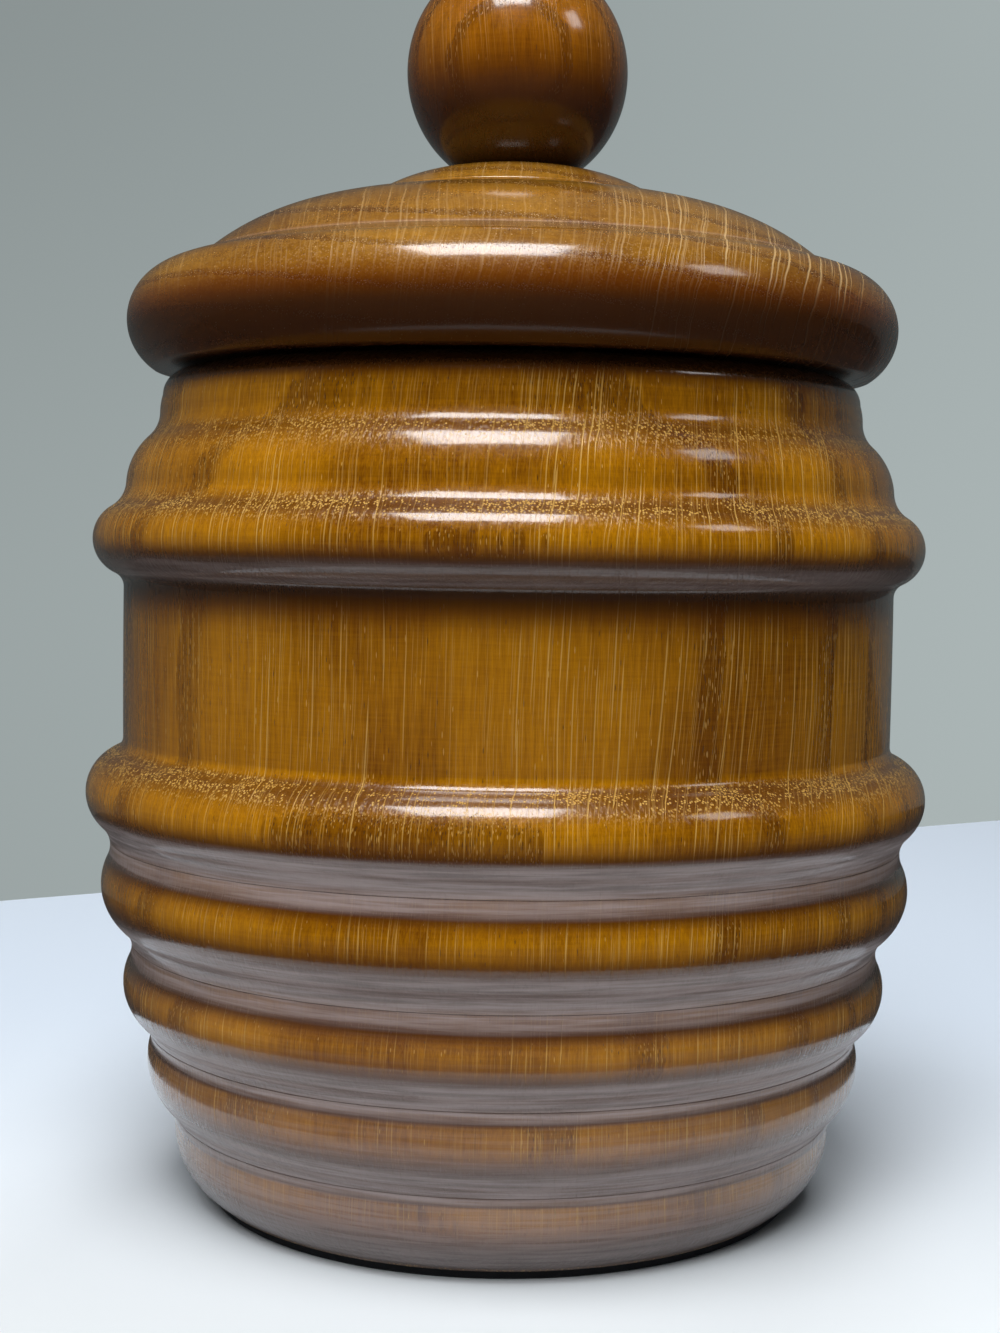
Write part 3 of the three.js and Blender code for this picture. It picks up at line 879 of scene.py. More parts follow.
@dataclass(frozen=True)
class OakFinish:
    """Oak, stained amber and varnished.

    Attributes:
        slot: The record's material slot.
        light: Colour of the lightest fibres.
        dark: Colour of the darkest fibres.
        ray: Colour of the rays and of filled pores.
        pore: Colour of open pores and of the darkest painted shade.
        painted_shade: Colour of the painted shade where it is light.
        wax_and_sheen: Colour of the wax in the grooves, which also paints the table's
        reflection there and under the beads.
        wax_and_sheen_amount: How much of it there is.
        grain: Way the fibres run.
        pith: Where the pith lies across the fibres, in millimetres.
        ring_width: Width of a growth ring.
        ray_gap: Space from ray to ray.
        ray_length: Length of a ray.
        ray_width: Half of a ray's thickness.
        ray_amount: Strength of the rays.
        end_grain: How much the wood shows its end grain.
        right_rays: How much weaker the rays are on the left side than on the right.
        dull: How much gloss is taken off where shade is painted.
        ribs: How much the fibres stand out.
    """

    slot: str
    light: Colour
    dark: Colour
    ray: Colour
    pore: Colour = (0.03, 0.010, 0.002)
    painted_shade: Colour = (0.11, 0.028, 0.002)
    wax_and_sheen: Colour = (0.56, 0.46, 0.45)
    wax_and_sheen_amount: float = 0.78
    grain: Grain = Grain.UPRIGHT
    pith: tuple[float, float, float] = (30.0, 150.0, 0.0)
    ring_width: float = 6.0
    ray_gap: float = 1.3
    ray_length: float = 24.0
    ray_width: float = 0.1
    ray_amount: float = 1.0
    end_grain: float = 1.0
    right_rays: float = 0.0
    dull: float = 0.0
    ribs: float = 1.0

    @functools.cache
    def material(self) -> bpy.types.Material:
        """Builds the material, once.

        Returns:
            The new material.
        """
        material, g, shader = blank_material(f"{self.slot}_varnished")
        coords = g.add("ShaderNodeTexCoord")
        along = (0.0, 0.0, 1.0) if self.grain is Grain.UPRIGHT else (0.0, 1.0, 0.0)
        facing = g.math("ABSOLUTE", g.vector("DOT_PRODUCT", coords.outputs["Normal"], along))
        mapping = g.add("ShaderNodeMapping")
        mapping.inputs["Rotation"].default_value = self.grain.value
        g.feed(mapping.inputs["Vector"], coords.outputs["Object"])
        oak = g.add("ShaderNodeGroup")
        oak.node_tree = OakGrain.tree()
        side, _, height = g.split(coords.outputs["Object"])
        left = self.ray_amount * (1.0 - self.right_rays)
        given = {
            "Vector": mapping.outputs["Vector"], "Turned": coords.outputs["Object"],
            "End Grain": g.ramp(facing, 0.3, 0.85, 0.0, self.end_grain), "Pith": self.pith,
            "Ring Width": self.ring_width, "Ray Gap": self.ray_gap, "Ray Length": self.ray_length,
            "Ray Width": self.ray_width, "Rib Depth": self.ribs, "Light Colour": self.light,
            "Ray Amount": g.ramp(side, -0.01, 0.035, left, self.ray_amount),
            "Dark Colour": self.dark, "Ray Colour": self.ray, "Pore Colour": self.pore,
        }
        for key, value in given.items():
            g.feed(oak.inputs[key], value)
        hollow = g.attribute("hollow")
        painted_shade = g.attribute("painted_shade")
        # Painted shade: towards the shade colour, and to the pore colour where it is deepest.
        colour = g.mix(g.times(g.ramp(painted_shade, 0.0, 0.75), 0.8), oak.outputs["Color"], self.painted_shade)
        colour = g.mix(g.times(g.ramp(painted_shade, 0.3, 1.0), 0.85), colour, self.pore)

        # Pale wax colour in level streaks: in the grooves and under the beads, where it also paints the
        # table's reflection, and as a bloom round the foot.
        streaks = g.noise(coords.outputs["Object"], (60.0, 60.0, 1600.0), 3.0, 0.6)
        bloom = g.most(g.ramp(hollow, 0.0, 0.75), g.ramp(height, 0.045, 0.0, 0.0, 0.5))
        wax_and_sheen = g.times(bloom, g.ramp(streaks, 0.3, 0.68, 0.45 * self.wax_and_sheen_amount, self.wax_and_sheen_amount))
        colour = g.mix(wax_and_sheen, colour, self.wax_and_sheen)
        cut_line = g.times(g.ramp(hollow, 0.82, 1.0), 0.6)
        g.feed(shader.inputs["Base Color"], g.mix(cut_line, colour, CUT_COLOUR))
        g.feed(shader.inputs["Roughness"], g.over(oak.outputs["Roughness"], wax_and_sheen, 0.3))
        # The coat is thinner under the wax, on pores and rays, and where shade is painted.
        thin_coat = g.most(wax_and_sheen, g.times(oak.outputs["Gaps"], 0.9), g.times(painted_shade, self.dull))
        g.feed(shader.inputs["Coat Weight"], g.over(1.0, thin_coat, -0.95, clamp=True))
        g.feed(shader.inputs["Normal"], g.bump(oak.outputs["Height"], 0.5, 0.00008))
        shader.inputs["Specular IOR Level"].default_value = 0.2
        shader.inputs["Coat Roughness"].default_value = 0.13
        return material


def blank_material(name: str) -> tuple[bpy.types.Material, Graph, Node]:
    """Makes a material with only its Principled shader and output.

    Args:
        name: Name of the material.

    Returns:
        The material, its graph and its Principled shader.
    """
    material = bpy.data.materials.new(name)
    material.use_nodes = True
    material.node_tree.nodes.clear()
    graph = Graph(material.node_tree)
    shader = graph.add("ShaderNodeBsdfPrincipled")
    out = graph.add("ShaderNodeOutputMaterial")
    graph.feed(out.inputs["Surface"], shader.outputs[0])
    return material, graph, shader


@dataclass(frozen=True)
class MottledFinish:
    """Plain stuff with a speckle of two colours, such as baize, glaze or fired clay.

    Attributes:
        slot: The record's material slot.
        main: Main colour.
        speck: Colour of the specks.
        size: Specks in a metre.
        amount: Share of the surface that is speckled.
        roughness: Roughness of the surface.
        bump: Depth of the surface's unevenness, in metres.
        coat: Strength of a clear gloss over it.
        metallic: 1 for bare metal.
    """

    slot: str
    main: Colour
    speck: Colour
    size: float = 900.0
    amount: float = 0.5
    roughness: float = 0.6
    bump: float = 0.0001
    coat: float = 0.0
    metallic: float = 0.0

    @functools.cache
    def material(self) -> bpy.types.Material:
        """Builds the material, once.

        Returns:
            The new material.
        """
        material, g, shader = blank_material(f"{self.slot}_finish")
        coords = g.add("ShaderNodeTexCoord").outputs["Object"]
        coarse = g.noise(coords, self.size * 0.12, 3.0, 0.6)
        fine = g.noise(coords, self.size, 4.0, 0.7)
        speck = g.ramp(fine, 0.75 - 0.5 * self.amount, 0.95 - 0.5 * self.amount)
        both = g.over(g.times(speck, 0.7), g.ramp(coarse, 0.35, 0.75), 0.3, clamp=True)
        g.feed(shader.inputs["Base Color"], g.mix(both, self.main, self.speck))
        shader.inputs["Metallic"].default_value = self.metallic
        rough = g.over(self.roughness - 0.05, both, 0.15, clamp=True)
        g.feed(shader.inputs["Roughness"], rough)
        g.feed(shader.inputs["Normal"], g.bump(fine, 0.6, self.bump))
        shader.inputs["Coat Weight"].default_value = self.coat
        shader.inputs["Coat Roughness"].default_value = 0.06
        return material


AMBER = OakFinish(
    "body_oak", light=(0.47, 0.192, 0.002), dark=(0.12, 0.033, 0.001), ray=(0.62, 0.37, 0.09),
    ring_width=13.0, ray_gap=0.95, ray_amount=0.85,
)
LID_AMBER = OakFinish(
    "lid_oak", light=(0.41, 0.19, 0.018), dark=(0.12, 0.036, 0.002), ray=(0.66, 0.45, 0.21),
    painted_shade=(0.14, 0.024, 0.0005), wax_and_sheen_amount=0.2, grain=Grain.FRONT_TO_BACK,
    pith=(-40.0, 150.0, 0.0), ring_width=5.0, ray_gap=0.65, ray_length=60.0, end_grain=0.2,
    right_rays=0.6, dull=0.7, ribs=0.15,
)
KNOB_AMBER = OakFinish(
    "knob_oak", light=(0.38, 0.13, 0.003), dark=(0.08, 0.020, 0.001), ray=(0.56, 0.30, 0.08),
    pith=(10.0, 120.0, 0.0), ring_width=7.0, ray_gap=0.9, ray_amount=0.6, end_grain=0.3, ribs=0.2,
)
BAIZE = MottledFinish(
    "black_baize", (0.006, 0.006, 0.008), (0.03, 0.03, 0.034), 1500.0, 0.4, 0.95, 0.0003,
)
GLAZE = MottledFinish(
    "cream_glaze", (0.74, 0.66, 0.50), (0.55, 0.42, 0.26), 700.0, 0.3, 0.2, 0.00003, coat=0.7,
)
CORK = MottledFinish("cork", (0.50, 0.29, 0.13), (0.20, 0.09, 0.04), 450.0, 0.55, 0.85, 0.0004)
CLAY = MottledFinish("red_clay", (0.46, 0.21, 0.12), (0.60, 0.36, 0.24), 800.0, 0.5, 0.9, 0.0002)
BRASS = MottledFinish(
    "pan_brass", (0.72, 0.49, 0.19), (0.42, 0.26, 0.09), 500.0, 0.45, 0.3, 0.00002, metallic=1.0,
)
SCREW_BRASS = MottledFinish(
    "screw_brass", (0.72, 0.50, 0.21), (0.40, 0.25, 0.09), 900.0, 0.45, 0.32, 0.00002, metallic=1.0,
)
STEEL = MottledFinish(
    "steel", (0.45, 0.45, 0.46), (0.22, 0.21, 0.2), 900.0, 0.5, 0.38, 0.00003, metallic=1.0,
)


def dress(piece: Piece, finish: Union[OakFinish, MottledFinish], body: str, node: str) -> None:
    """Gives a piece its finish, the body it moves with and the node it stands for.

    Args:
        piece: The finished piece.
        finish: Its finish, which names the record's slot.
        body: Body that it moves with.
        node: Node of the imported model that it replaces.
    """
    piece.data.materials.clear()
    piece.data.materials.append(finish.material())
    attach(piece, body)
    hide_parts(node)
    log.info("%s: %d faces, on %s", piece.name, len(piece.data.polygons), body)


# The jar


@dataclass
class JarBody:
    """Turned oak body and the baize under it, in millimetres."""

    band_radius: float = 59.5
    foot_bottom: float = 1.3
    top: float = 126.4
    bore_radius: float = 44.5
    bore_floor: float = 18.3
    mouth_radius: float = 53.8
    mouth_rounding: float = 3.8
    baize_radius: float = 45.9
    around: int = 224

    def build(self) -> None:
        """Makes the body and the baize."""
        dress(self.oak(), AMBER, "jar", "barrel_body")
        dress(self.baize(), BAIZE, "jar", "base_baize")

    def oak(self) -> Piece:
        """Turns the body.

        Returns:
            The body.
        """
        r = self.band_radius
        rounding = self.mouth_rounding
        edge_height = self.top - rounding
        outline = Outline().to(0, self.foot_bottom).line(r - 13.1, self.foot_bottom, 6.0)
        outline.to(r - 12.7, self.foot_bottom + 0.35)
        outline.beads([
            Stretch(r - 8.5, 13.3, 1.97, 3.5, 0.8, True),
            Stretch(r - 5.3, 26.4, 2.88, 4.0, 0.8, True),
            Stretch(r - 5.8, 40.3, 5.42, 4.8, 0.8, True),
            Stretch(r - 1.8, 56.2, 7.0, 4.8, 0.8, True),
            Stretch(r, 69.1, 6.45, 2.2),
            Stretch(r, 95.2, 0.05, 2.2, 0.34),
            Stretch(r - 0.5, 106.5, 4.86, 4.5),
            Stretch(r - 5.6, 117.7, 2.02, 5.0),
            Stretch(self.mouth_radius, edge_height, 0.35),
        ])
        outline.round(self.mouth_radius - rounding, edge_height, rounding, 0, 90)
        outline.to(self.bore_radius + 0.5, self.top).to(self.bore_radius, self.top - 0.5)
        outline.line(self.bore_radius, self.bore_floor, 6.0).line(0, self.bore_floor, 8.0)
        outside = self.bore_radius + 2
        # Painted shade on the top of the band, under the upper bead, and on the neck under the lid.
        outline.shade(83.0, 94.5, 95.5, outside).shade(120.5, 124.5, self.top, outside)
        return as_object("oak_body", spun(outline, self.around))

    def baize(self) -> Piece:
        """Turns the baize disc, with a soft edge.

        Returns:
            The disc.
        """
        radius, top = self.baize_radius, self.foot_bottom - GAP
        outline = Outline().to(0, 0).line(radius - 0.3, 0, 5.0).to(radius, 0.3).to(radius, top - 0.2)
        outline.to(radius - 0.2, top).line(0, top, 8.0)
        return as_object("baize", spun(outline, ROUND))


@dataclass
class Liner:
    """Loose glazed pot that holds the tobacco, in millimetres."""

    bottom: float = 18.6
    top: float = 124.4
    radius: float = 43.6
    wall: float = 4.0
    floor: float = 5.0
    foot_ring: float = 0.8
    outer_rounding: float = 2.2
    inner_rounding: float = 6.0

    def build(self) -> None:
        """Makes the pot."""
        radius, low, half = self.radius, self.bottom, self.wall / 2
        inside, floor = radius - self.wall, low + self.floor
        outer, inner = self.outer_rounding, self.inner_rounding
        outline = Outline().to(0, low + self.foot_ring).line(radius - 6.0, low + self.foot_ring, 6.0)
        outline.to(radius - 5.4, low).to(radius - outer, low)
        outline.round(radius - outer, low + outer, outer, -90, 0)
        outline.line(radius, self.top - half, 6.0).round(radius - half, self.top - half, half, 0, 180)
        outline.line(inside, floor + inner, 6.0).round(inside - inner, floor + inner, inner, 0, -90)
        outline.line(0, floor, 6.0)
        dress(as_object("glazed_pot", spun(outline, ROUND)), GLAZE, "liner", "liner_pot")


@dataclass
class Lid:
    """Oak lid with its plug, its cork band and the knob, in millimetres."""

    bottom: float = 126.7
    radius: float = 59.2
    rim_rounding: float = 8.5
    rim_centre: float = 7.1
    plug_radius: float = 36.7
    plug_depth: float = 12.0
    cork_radius: float = 39.3
    recess_radius: float = 27.0
    recess_top: float = 122.7
    crown_radius: float = 22.7
    crown_top: float = 158.3
    seat_radius: float = 9.1
    knob_gap: float = 0.3
    knob_radius: float = 17.05
    knob_half_height: float = 17.7
    screw_hole: float = 2.5
    around: int = 224

    def build(self) -> None:
        """Makes the lid, its cork and its knob."""
        dress(self.oak(), LID_AMBER, "lid", "lid")
        dress(self.cork(), CORK, "lid", "cork_seal")
        dress(self.knob(), KNOB_AMBER, "lid", "knob")
        dress(self.knob_screw(), STEEL, "lid", "knob_screw")

    def oak(self) -> Piece:
        """Turns the lid: rim, dome, crown and plug in one piece.

        Returns:
            The lid.
        """
        plug_bottom = self.bottom - self.plug_depth
        rim = Circle(self.radius - self.rim_rounding, self.bottom + self.rim_centre, self.rim_rounding)
        dome_foot = (self.radius - 11.0, rim.z + self.rim_rounding + 1.3)
        dome_top = (self.crown_radius, dome_foot[1] + 9.2)
        start = -math.asin(self.rim_centre / self.rim_rounding)
        outline = Outline().to(4.7, self.recess_top).line(self.recess_radius, self.recess_top, 6.0)
        outline.line(self.recess_radius, plug_bottom + 0.3, 4.0)
        outline.to(self.recess_radius + 0.3, plug_bottom).line(self.plug_radius - 0.6, plug_bottom, 3.0)
        outline.to(self.plug_radius, plug_bottom + 0.6)
        outline.line(self.plug_radius, self.bottom, 3.0).line(rim.at(start)[0], self.bottom, 4.0)
        # Shade is painted on the rim, more and more from high on its front down to its lower half.
        outline.arc(rim, start, math.radians(84), PaintedShade(40.0, -16.0))
        x, z = dome_foot
        outline.to(x + 0.5, z - 0.25, 0.3).to(x + 0.15, z - 0.3, 1.0).to(x - 0.2, z + 0.1, 0.3)
        x, z = dome_top
        outline.beads([Stretch(x + 0.7, z - 0.1, 2.4)])
        outline.to(x + 0.1, z + 0.05, 0.8).round(x - 0.4, z + 0.8, 0.4, 0, 68)
        outline.beads([Stretch(self.seat_radius, self.crown_top, 0.9)])
        outline.to(self.screw_hole, self.crown_top).to(self.screw_hole, self.recess_top + 2.6).close()
        # Painted shade on the lid's underside round the plug.
        outline.shade(self.bottom - 3.0, self.bottom - 0.1, self.bottom + 0.1, self.recess_radius)
        return as_object("oak_lid", spun(outline, self.around))

    def cork(self) -> Piece:
        """Turns the cork band round the plug.

        Returns:
            The band.
        """
        inner, edge = self.plug_radius + 0.05, 0.6
        low, high, x = self.bottom - 11.0, self.bottom - 4.0, self.cork_radius - edge
        outline = Outline().to(inner, low).to(x, low).round(x, low + edge, edge, -90, 0)
        outline.round(x, high - edge, edge, 0, 90).to(inner, high).close()
        return as_object("cork_band", spun(outline, ROUND))

    def knob(self) -> Piece:
        """Turns the ball knob, drilled for its screw.

        Returns:
            The knob.
        """
        low, hole = self.crown_top + self.knob_gap, self.screw_hole
        slope = math.acos(self.seat_radius / self.knob_radius)
        centre = low + self.knob_half_height * math.sin(slope)
        outline = Outline().to(0, low + 15.3).to(hole, low + 11.3).to(hole, low)
        outline.to(self.seat_radius - 0.4, low - 0.25)
        # Shade is painted on the knob's lower half.
        painted_shade, steps = PaintedShade(18.0, -32.0), 72
        for i in range(steps + 1):
            angle = -slope + (slope + math.pi / 2) * i / steps
            radius = self.knob_radius * math.cos(angle) if i < steps else 0.0
            height = centre + self.knob_half_height * math.sin(angle)
            outline.to(radius, height, 0.0, painted_shade.at(angle))
        return as_object("ball_knob", spun(outline, ROUND))

    def knob_screw(self) -> Piece:
        """Turns the countersunk screw that holds the knob.

        Returns:
            The screw.
        """
        low, tip = self.recess_top, self.crown_top + self.knob_gap + 15.0
        head, shank = 4.4, 2.2
        outline = Outline().to(0, low).to(head, low).to(head, low + 0.3)
        outline.to(shank, low + 2.6).to(shank, tip - 4).to(0, tip)
        return as_object("knob_fixing", spun(outline, 48))


@dataclass
class Humidifier:
    """Brass pan with its clay disc, its pierced cover and its screws, in millimetres."""

    plug_bottom: float = 114.7
    pan_radius: float = 26.7
    pan_depth: float = 7.7
    sheet: float = 0.8
    flange_radius: float = 31.3
    screw_circle: float = 29.15
    cover_radius: float = 25.6
    disc_radius: float = 24.4
    hole_radius: float = 1.4
    hole_rings: tuple[tuple[float, int], ...] = ((8.5, 8), (14.0, 14), (19.5, 18))
    screw_angles: tuple[float, ...] = tuple(math.pi / 2 + n * FULL_TURN / 3 for n in range(3))

    def build(self) -> None:
        """Makes the pan, the disc, the cover and the screws."""
        dress(self.pan(), BRASS, "lid", "humidifier_pan")
        dress(self.disc(), CLAY, "lid", "humidifier_pad")
        dress(self.cover(), BRASS, "cover", "humidifier_cover")
        for number, angle in enumerate(self.screw_angles, 1):
            dress(self.screw(number, angle), SCREW_BRASS, "lid", f"pan_screw_{number}")

    @property
    def flange_top(self) -> float:
        """Height of the flange's upper face."""
        return self.plug_bottom - 0.3

    @property
    def flange_bottom(self) -> float:
        """Height of the flange's lower face."""
        return self.flange_top - self.sheet

    def pan(self) -> Piece:
        """Turns the pan with its flange.

        Returns:
            The pan.
        """
        top = self.plug_bottom + self.pan_depth
        inside, ceiling, edge = self.pan_radius - self.sheet, top - self.sheet, 0.6
        low, high = self.flange_bottom, self.flange_top
        outline = Outline().to(0, ceiling).line(inside - edge, ceiling, 5.0)
        outline.round(inside - edge, ceiling - edge, edge, 90, 0)
        outline.line(inside, low + 0.2, 2.0).to(inside + 0.2, low).to(self.flange_radius - 0.4, low)
        outline.round(self.flange_radius - 0.4, (high + low) / 2, 0.4, -90, 90)
        outline.to(self.pan_radius, high).line(self.pan_radius, top - edge, 2.0)
        outline.round(self.pan_radius - edge, top - edge, edge, 0, 90).line(0, top, 6.0)
        piece = as_object("brass_pan", spun(outline, ROUND))
        holes = bmesh.new()
        for angle in self.screw_angles:
            self.peg(holes, angle, self.screw_circle, 1.25, low - 1, high + 1)
        drill(piece, holes)
        return piece

    @staticmethod
    def peg(bm: Mesh, angle: float, circle: float, radius: float, low: float, high: float) -> None:
        """Adds an upright cylinder on a circle to a mesh.

        Args:
            bm: Mesh to add to, in metres.
            angle: Angle on the circle.
            circle: Radius of the circle, in millimetres.
            radius: Radius of the cylinder.
            low: Its lower end.
            high: Its upper end.
        """
        centre = (circle * MM * math.cos(angle), circle * MM * math.sin(angle), (low + high) / 2 * MM)
        bmesh.ops.create_cone(
            bm, cap_ends=True, segments=20, radius1=radius * MM, radius2=radius * MM,
            depth=(high - low) * MM, matrix=Matrix.Translation(centre),
        )

    def disc(self) -> Piece:
        """Turns the absorbent clay disc.

        Returns:
            The disc.
        """
        low = self.flange_bottom + self.sheet + 0.3
        high = self.plug_bottom + self.pan_depth - self.sheet - 0.3
        edge = 0.5
        x = self.disc_radius - edge
        outline = Outline().to(0, low).line(x, low, 4.0).round(x, low + edge, edge, -90, 0)
        outline.round(x, high - edge, edge, 0, 90).line(0, high, 4.0)
        return as_object("clay_disc", spun(outline, 128))

    def cover(self) -> Piece:
        """Turns the cover with its skirt and pull, and pierces it.

        Returns:
            The cover.
        """
        low, edge, skirt = self.flange_bottom, 0.5, 3.0
        high, pull = low + self.sheet, low - 5.0
        outside, inside = self.cover_radius, self.cover_radius - self.sheet
        outline = Outline().to(0, pull).to(1.4, pull).round(1.4, pull + 2.0, 2.0, -90, 50)
        outline.to(1.7, pull + 3.7).line(1.7, low - 0.4, 0.5).to(2.1, low, 0.8)
        outline.line(outside - edge, low, 3.0).round(outside - edge, low + edge, edge, -90, 0)
        outline.line(outside, low + skirt, 1.0).to(inside, low + skirt)
        outline.line(inside, high + 0.3, 1.0).to(inside - 0.3, high).line(0, high, 4.0)
        piece = as_object("pierced_cover", spun(outline, ROUND))
        holes = bmesh.new()
        for radius, count in self.hole_rings:
            for number in range(count):
                self.peg(holes, number * FULL_TURN / count, radius, self.hole_radius, low - 1, high + 1)
        drill(piece, holes)
        return piece

    def screw(self, number: int, angle: float) -> Piece:
        """Turns one round-headed screw and cuts its slot.

        Args:
            number: Which screw, for its name.
            angle: Where it stands on the flange.

        Returns:
            The screw, in place.
        """
        seat, tip = self.flange_bottom, self.plug_bottom + 6.5
        head, crown, edge, shank = 1.9, 1.1, 0.15, 1.1
        outline = Outline().to(0, seat - crown)
        steps = 8
        for i in range(1, steps + 1):
            share = i / steps * math.pi / 2
            outline.to(head * math.sin(share), seat - edge - (crown - edge) * math.cos(share))
        outline.to(head, seat).to(shank, seat).line(shank, tip - shank, 1.0).to(0, tip)
        bm = spun(outline, 40)
        out = self.screw_circle * MM
        place = Matrix.Translation((out * math.cos(angle), out * math.sin(angle), 0.0))
        bmesh.ops.transform(bm, matrix=place, verts=bm.verts)
        piece = as_object(f"flange_screw_{number}", bm)
        slot = bmesh.new()
        size = Matrix.Diagonal((6 * MM, 0.6 * MM, 1.0 * MM, 1.0))
        place = place @ Matrix.Translation((0, 0, (seat - crown) * MM))
        place = place @ Matrix.Rotation(0.7 * number, 4, "Z") @ size
        bmesh.ops.create_cube(slot, size=1.0, matrix=place)
        drill(piece, slot)
        return piece


# The studio


@dataclass(frozen=True)
class Lamp:
    """One soft lamp.

    Attributes:
        name: Name of the lamp.
        place: Where it hangs, in metres.
        aim: Point that it faces.
        width: Its width.
        depth: Its depth.
        glow: Brightness of its face, where 1 is white.
        mirrored: Whether glossy surfaces mirror it.
        lights: Whether it lights matt surfaces.
    """

    name: str
    place: tuple[float, float, float]
    aim: tuple[float, float, float]
    width: float
    depth: float
    glow: float
    mirrored: bool = True
    lights: bool = True

    def hang(self) -> None:
        """Adds the lamp to the scene."""
        lamp = bpy.data.lights.new(self.name, "AREA")
        lamp.shape = "RECTANGLE"
        lamp.size, lamp.size_y = self.width, self.depth
        lamp.energy = self.glow * math.pi * self.width * self.depth
        holder = bpy.data.objects.new(self.name, lamp)
        holder.location = self.place
        aim = Vector(self.aim) - Vector(self.place)
        holder.rotation_euler = aim.to_track_quat("-Z", "Y").to_euler()
        holder.visible_glossy = self.mirrored
        holder.visible_diffuse = self.lights
        bpy.context.scene.collection.objects.link(holder)


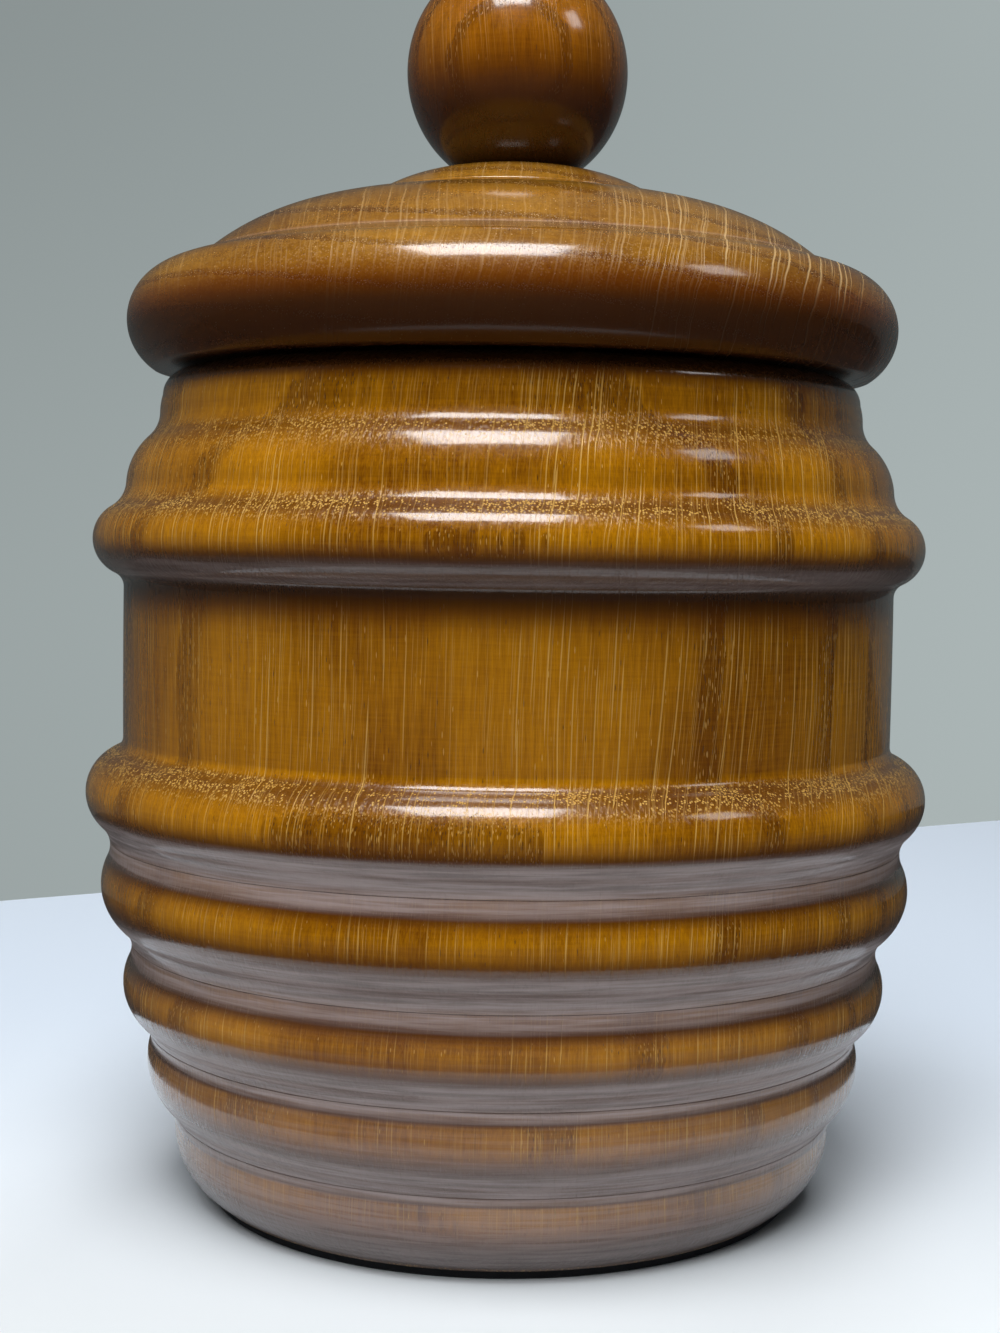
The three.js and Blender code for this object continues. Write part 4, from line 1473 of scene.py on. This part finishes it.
@dataclass
class Studio:
    """Pale table, grey wall, lamps and the camera."""

    table_colour: Colour = (0.72, 0.75, 0.76)
    table_far: Colour = (0.56, 0.63, 0.72)
    wall_colour: Colour = (0.33, 0.375, 0.375)
    wall_distance: float = 0.2765
    wall_turn: float = 31.1
    room_light: float = 0.05
    table_bounce: float = 0.6
    flag_radius: float = 110.0
    lens: float = 54.12
    lens_shift: float = -43 / 1333
    camera_place: tuple[float, float, float] = (0.0, -0.3156, 0.1005)
    pitch: float = 3.41
    yaw: float = 0.98
    roll: float = 0.92
    lamps: tuple[Lamp, ...] = (
        Lamp("roof_light", (-0.06, -0.42, 1.25), (-0.06, -0.42, 0.0), 0.54, 0.52, 13.0, mirrored=False),
        Lamp("roof_window", (-0.11, -0.42, 1.22), (-0.11, -0.42, 0.0), 0.62, 0.52, 14.0, lights=False),
        Lamp("side_window", (1.05, -0.38, 1.1), (0.0, 0.0, 0.1), 0.32, 0.32, 5.0, lights=False),
        Lamp("left_fill", (-1.0, -0.2, 1.1), (0.0, 0.0, 0.05), 0.6, 0.6, 2.4, mirrored=False),
        Lamp("back_fill", (0.35, 1.1, 1.2), (0.0, 0.0, 0.1), 0.7, 0.7, 5.0, mirrored=False),
        Lamp("front_fill", (-0.15, -1.1, 1.4), (0.0, 0.0, 0.1), 0.8, 0.8, 9.5, mirrored=False),
    )

    def build(self) -> None:
        """Makes the table, the wall, the room's light, the lamps and the camera."""
        self.table()
        self.flag()
        self.wall()
        self.room()
        self.camera()
        for lamp in self.lamps:
            lamp.hang()
        bpy.context.scene.view_settings.view_transform = "Standard"

    def table(self) -> None:
        """Lays the pale table."""
        bm = bmesh.new()
        bmesh.ops.create_grid(bm, x_segments=1, y_segments=1, size=3.0)
        table = as_object("table", bm)
        material, g, shader = blank_material("table_top")
        path = g.add("ShaderNodeLightPath")
        seen = g.most(*(path.outputs[f"Is {ray} Ray"] for ray in ("Camera", "Glossy", "Transmission")))
        _, y, _ = g.split(g.add("ShaderNodeTexCoord").outputs["Object"])
        # The table gets darker and bluer towards the wall: painted shade.
        colour = g.mix(g.ramp(y, -0.16, 0.14), self.table_colour, self.table_far)
        dim = g.mix(self.table_bounce, (0.0, 0.0, 0.0), colour)
        g.feed(shader.inputs["Base Color"], g.mix(seen, dim, colour))
        shader.inputs["Roughness"].default_value = 0.6
        shader.inputs["Specular IOR Level"].default_value = 0.0
        table.data.materials.append(material)

    def flag(self) -> None:
        """Lays a black ring on the table round the jar, seen only in reflections."""
        ring = Outline().to(self.flag_radius, 0.5).to(3000.0, 0.5)
        flag = as_object("black_flag", spun(ring, 96))
        material, _, shader = blank_material("flag_felt")
        shader.inputs["Base Color"].default_value = (0.02, 0.02, 0.02, 1.0)
        shader.inputs["Roughness"].default_value = 1.0
        flag.data.materials.append(material)
        for kind in ("camera", "diffuse", "shadow", "transmission"):
            setattr(flag, f"visible_{kind}", False)

    def wall(self) -> None:
        """Stands the wall behind the table, to be seen only from its front."""
        bm = bmesh.new()
        bmesh.ops.create_grid(bm, x_segments=1, y_segments=1, size=1.0)
        place = Matrix.Rotation(math.radians(self.wall_turn), 4, "Z")
        place = place @ Matrix.Translation((0.0, self.wall_distance, 1.5))
        place = place @ Matrix.Rotation(math.radians(90), 4, "X")
        place = place @ Matrix.Diagonal((3.0, 1.5, 1.0, 1.0))
        bmesh.ops.transform(bm, matrix=place, verts=bm.verts)
        wall = as_object("wall", bm)
        material = bpy.data.materials.new("wall_paint")
        material.use_nodes = True
        material.node_tree.nodes.clear()
        g = Graph(material.node_tree)
        x, _, z = g.split(g.add("ShaderNodeTexCoord").outputs["Object"])
        path = g.add("ShaderNodeLightPath")
        # The wall glows with its own light, with painted shade: darker at the top left, and dimmer
        # where it is mirrored.
        fall = g.ramp(x, -0.25, 0.25, -0.25, -0.1)
        shade = g.over(g.ramp(x, -0.35, 0.3, 0.92, 1.25), g.ramp(z, 0.06, 0.28), fall)
        shade = g.times(shade, g.over(0.22, path.outputs["Is Camera Ray"], 0.78))
        paint = g.add("ShaderNodeEmission")
        paint.inputs["Color"].default_value = (*self.wall_colour, 1.0)
        clear = g.add("ShaderNodeBsdfTransparent")
        seen = g.most(path.outputs["Is Camera Ray"], path.outputs["Is Glossy Ray"])
        back = g.add("ShaderNodeNewGeometry").outputs["Backfacing"]
        seen = g.times(seen, g.math("SUBTRACT", 1.0, back))
        g.feed(paint.inputs["Strength"], shade)
        choice = g.add("ShaderNodeMixShader")
        for socket, value in zip(choice.inputs, (seen, clear.outputs[0], paint.outputs[0])):
            g.feed(socket, value)
        out = g.add("ShaderNodeOutputMaterial")
        g.feed(out.inputs["Surface"], choice.outputs[0])
        wall.data.materials.append(material)

    def room(self) -> None:
        """Fills the room with plain light, and with wall grey where it is seen."""
        world = bpy.data.worlds.new("room")
        bpy.context.scene.world = world
        world.use_nodes = True
        world.node_tree.nodes.clear()
        g = Graph(world.node_tree)
        background = g.add("ShaderNodeBackground")
        background.inputs["Color"].default_value = (*self.wall_colour, 1.0)
        out = g.add("ShaderNodeOutputWorld")
        g.feed(out.inputs["Surface"], background.outputs[0])
        path = g.add("ShaderNodeLightPath")
        _, y, _ = g.split(g.add("ShaderNodeTexCoord").outputs["Generated"])
        mirrored = g.ramp(y, -0.3, 0.7, 0.03, 0.2)
        glossy = path.outputs["Is Glossy Ray"]
        lit = g.times(g.math("SUBTRACT", 1.0, glossy), self.room_light / self.wall_colour[1])
        strength = g.over(lit, glossy, mirrored)
        g.feed(background.inputs["Strength"], g.most(strength, path.outputs["Is Camera Ray"]))

    def camera(self) -> None:
        """Sets the camera where the photograph was taken."""
        pitch, yaw, roll = (math.radians(v) for v in (self.pitch, self.yaw, self.roll))
        level = math.cos(pitch)
        ahead = Vector((math.sin(yaw) * level, math.cos(yaw) * level, -math.sin(pitch)))
        right = Vector((math.cos(yaw), -math.sin(yaw), 0.0))
        up = right.cross(ahead)
        turned_right = math.cos(roll) * right + math.sin(roll) * up
        turned_up = -math.sin(roll) * right + math.cos(roll) * up
        basis = Matrix((turned_right, turned_up, -ahead)).transposed().to_4x4()
        lens = bpy.data.cameras.new("camera")
        lens.lens = self.lens
        lens.sensor_width = 36.0
        lens.shift_x = self.lens_shift
        lens.clip_start = 0.01
        camera = bpy.data.objects.new("camera", lens)
        camera.matrix_world = Matrix.Translation(self.camera_place) @ basis
        bpy.context.scene.collection.objects.link(camera)
        bpy.context.scene.camera = camera


def main() -> None:
    """Builds the jar and its studio."""
    logging.basicConfig(level=logging.INFO, format="%(message)s")
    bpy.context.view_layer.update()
    for part in (JarBody(), Liner(), Lid(), Humidifier(), Studio()):
        part.build()
        log.info("%s built", type(part).__name__)
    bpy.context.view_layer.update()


if __name__ == "__main__":
    main()
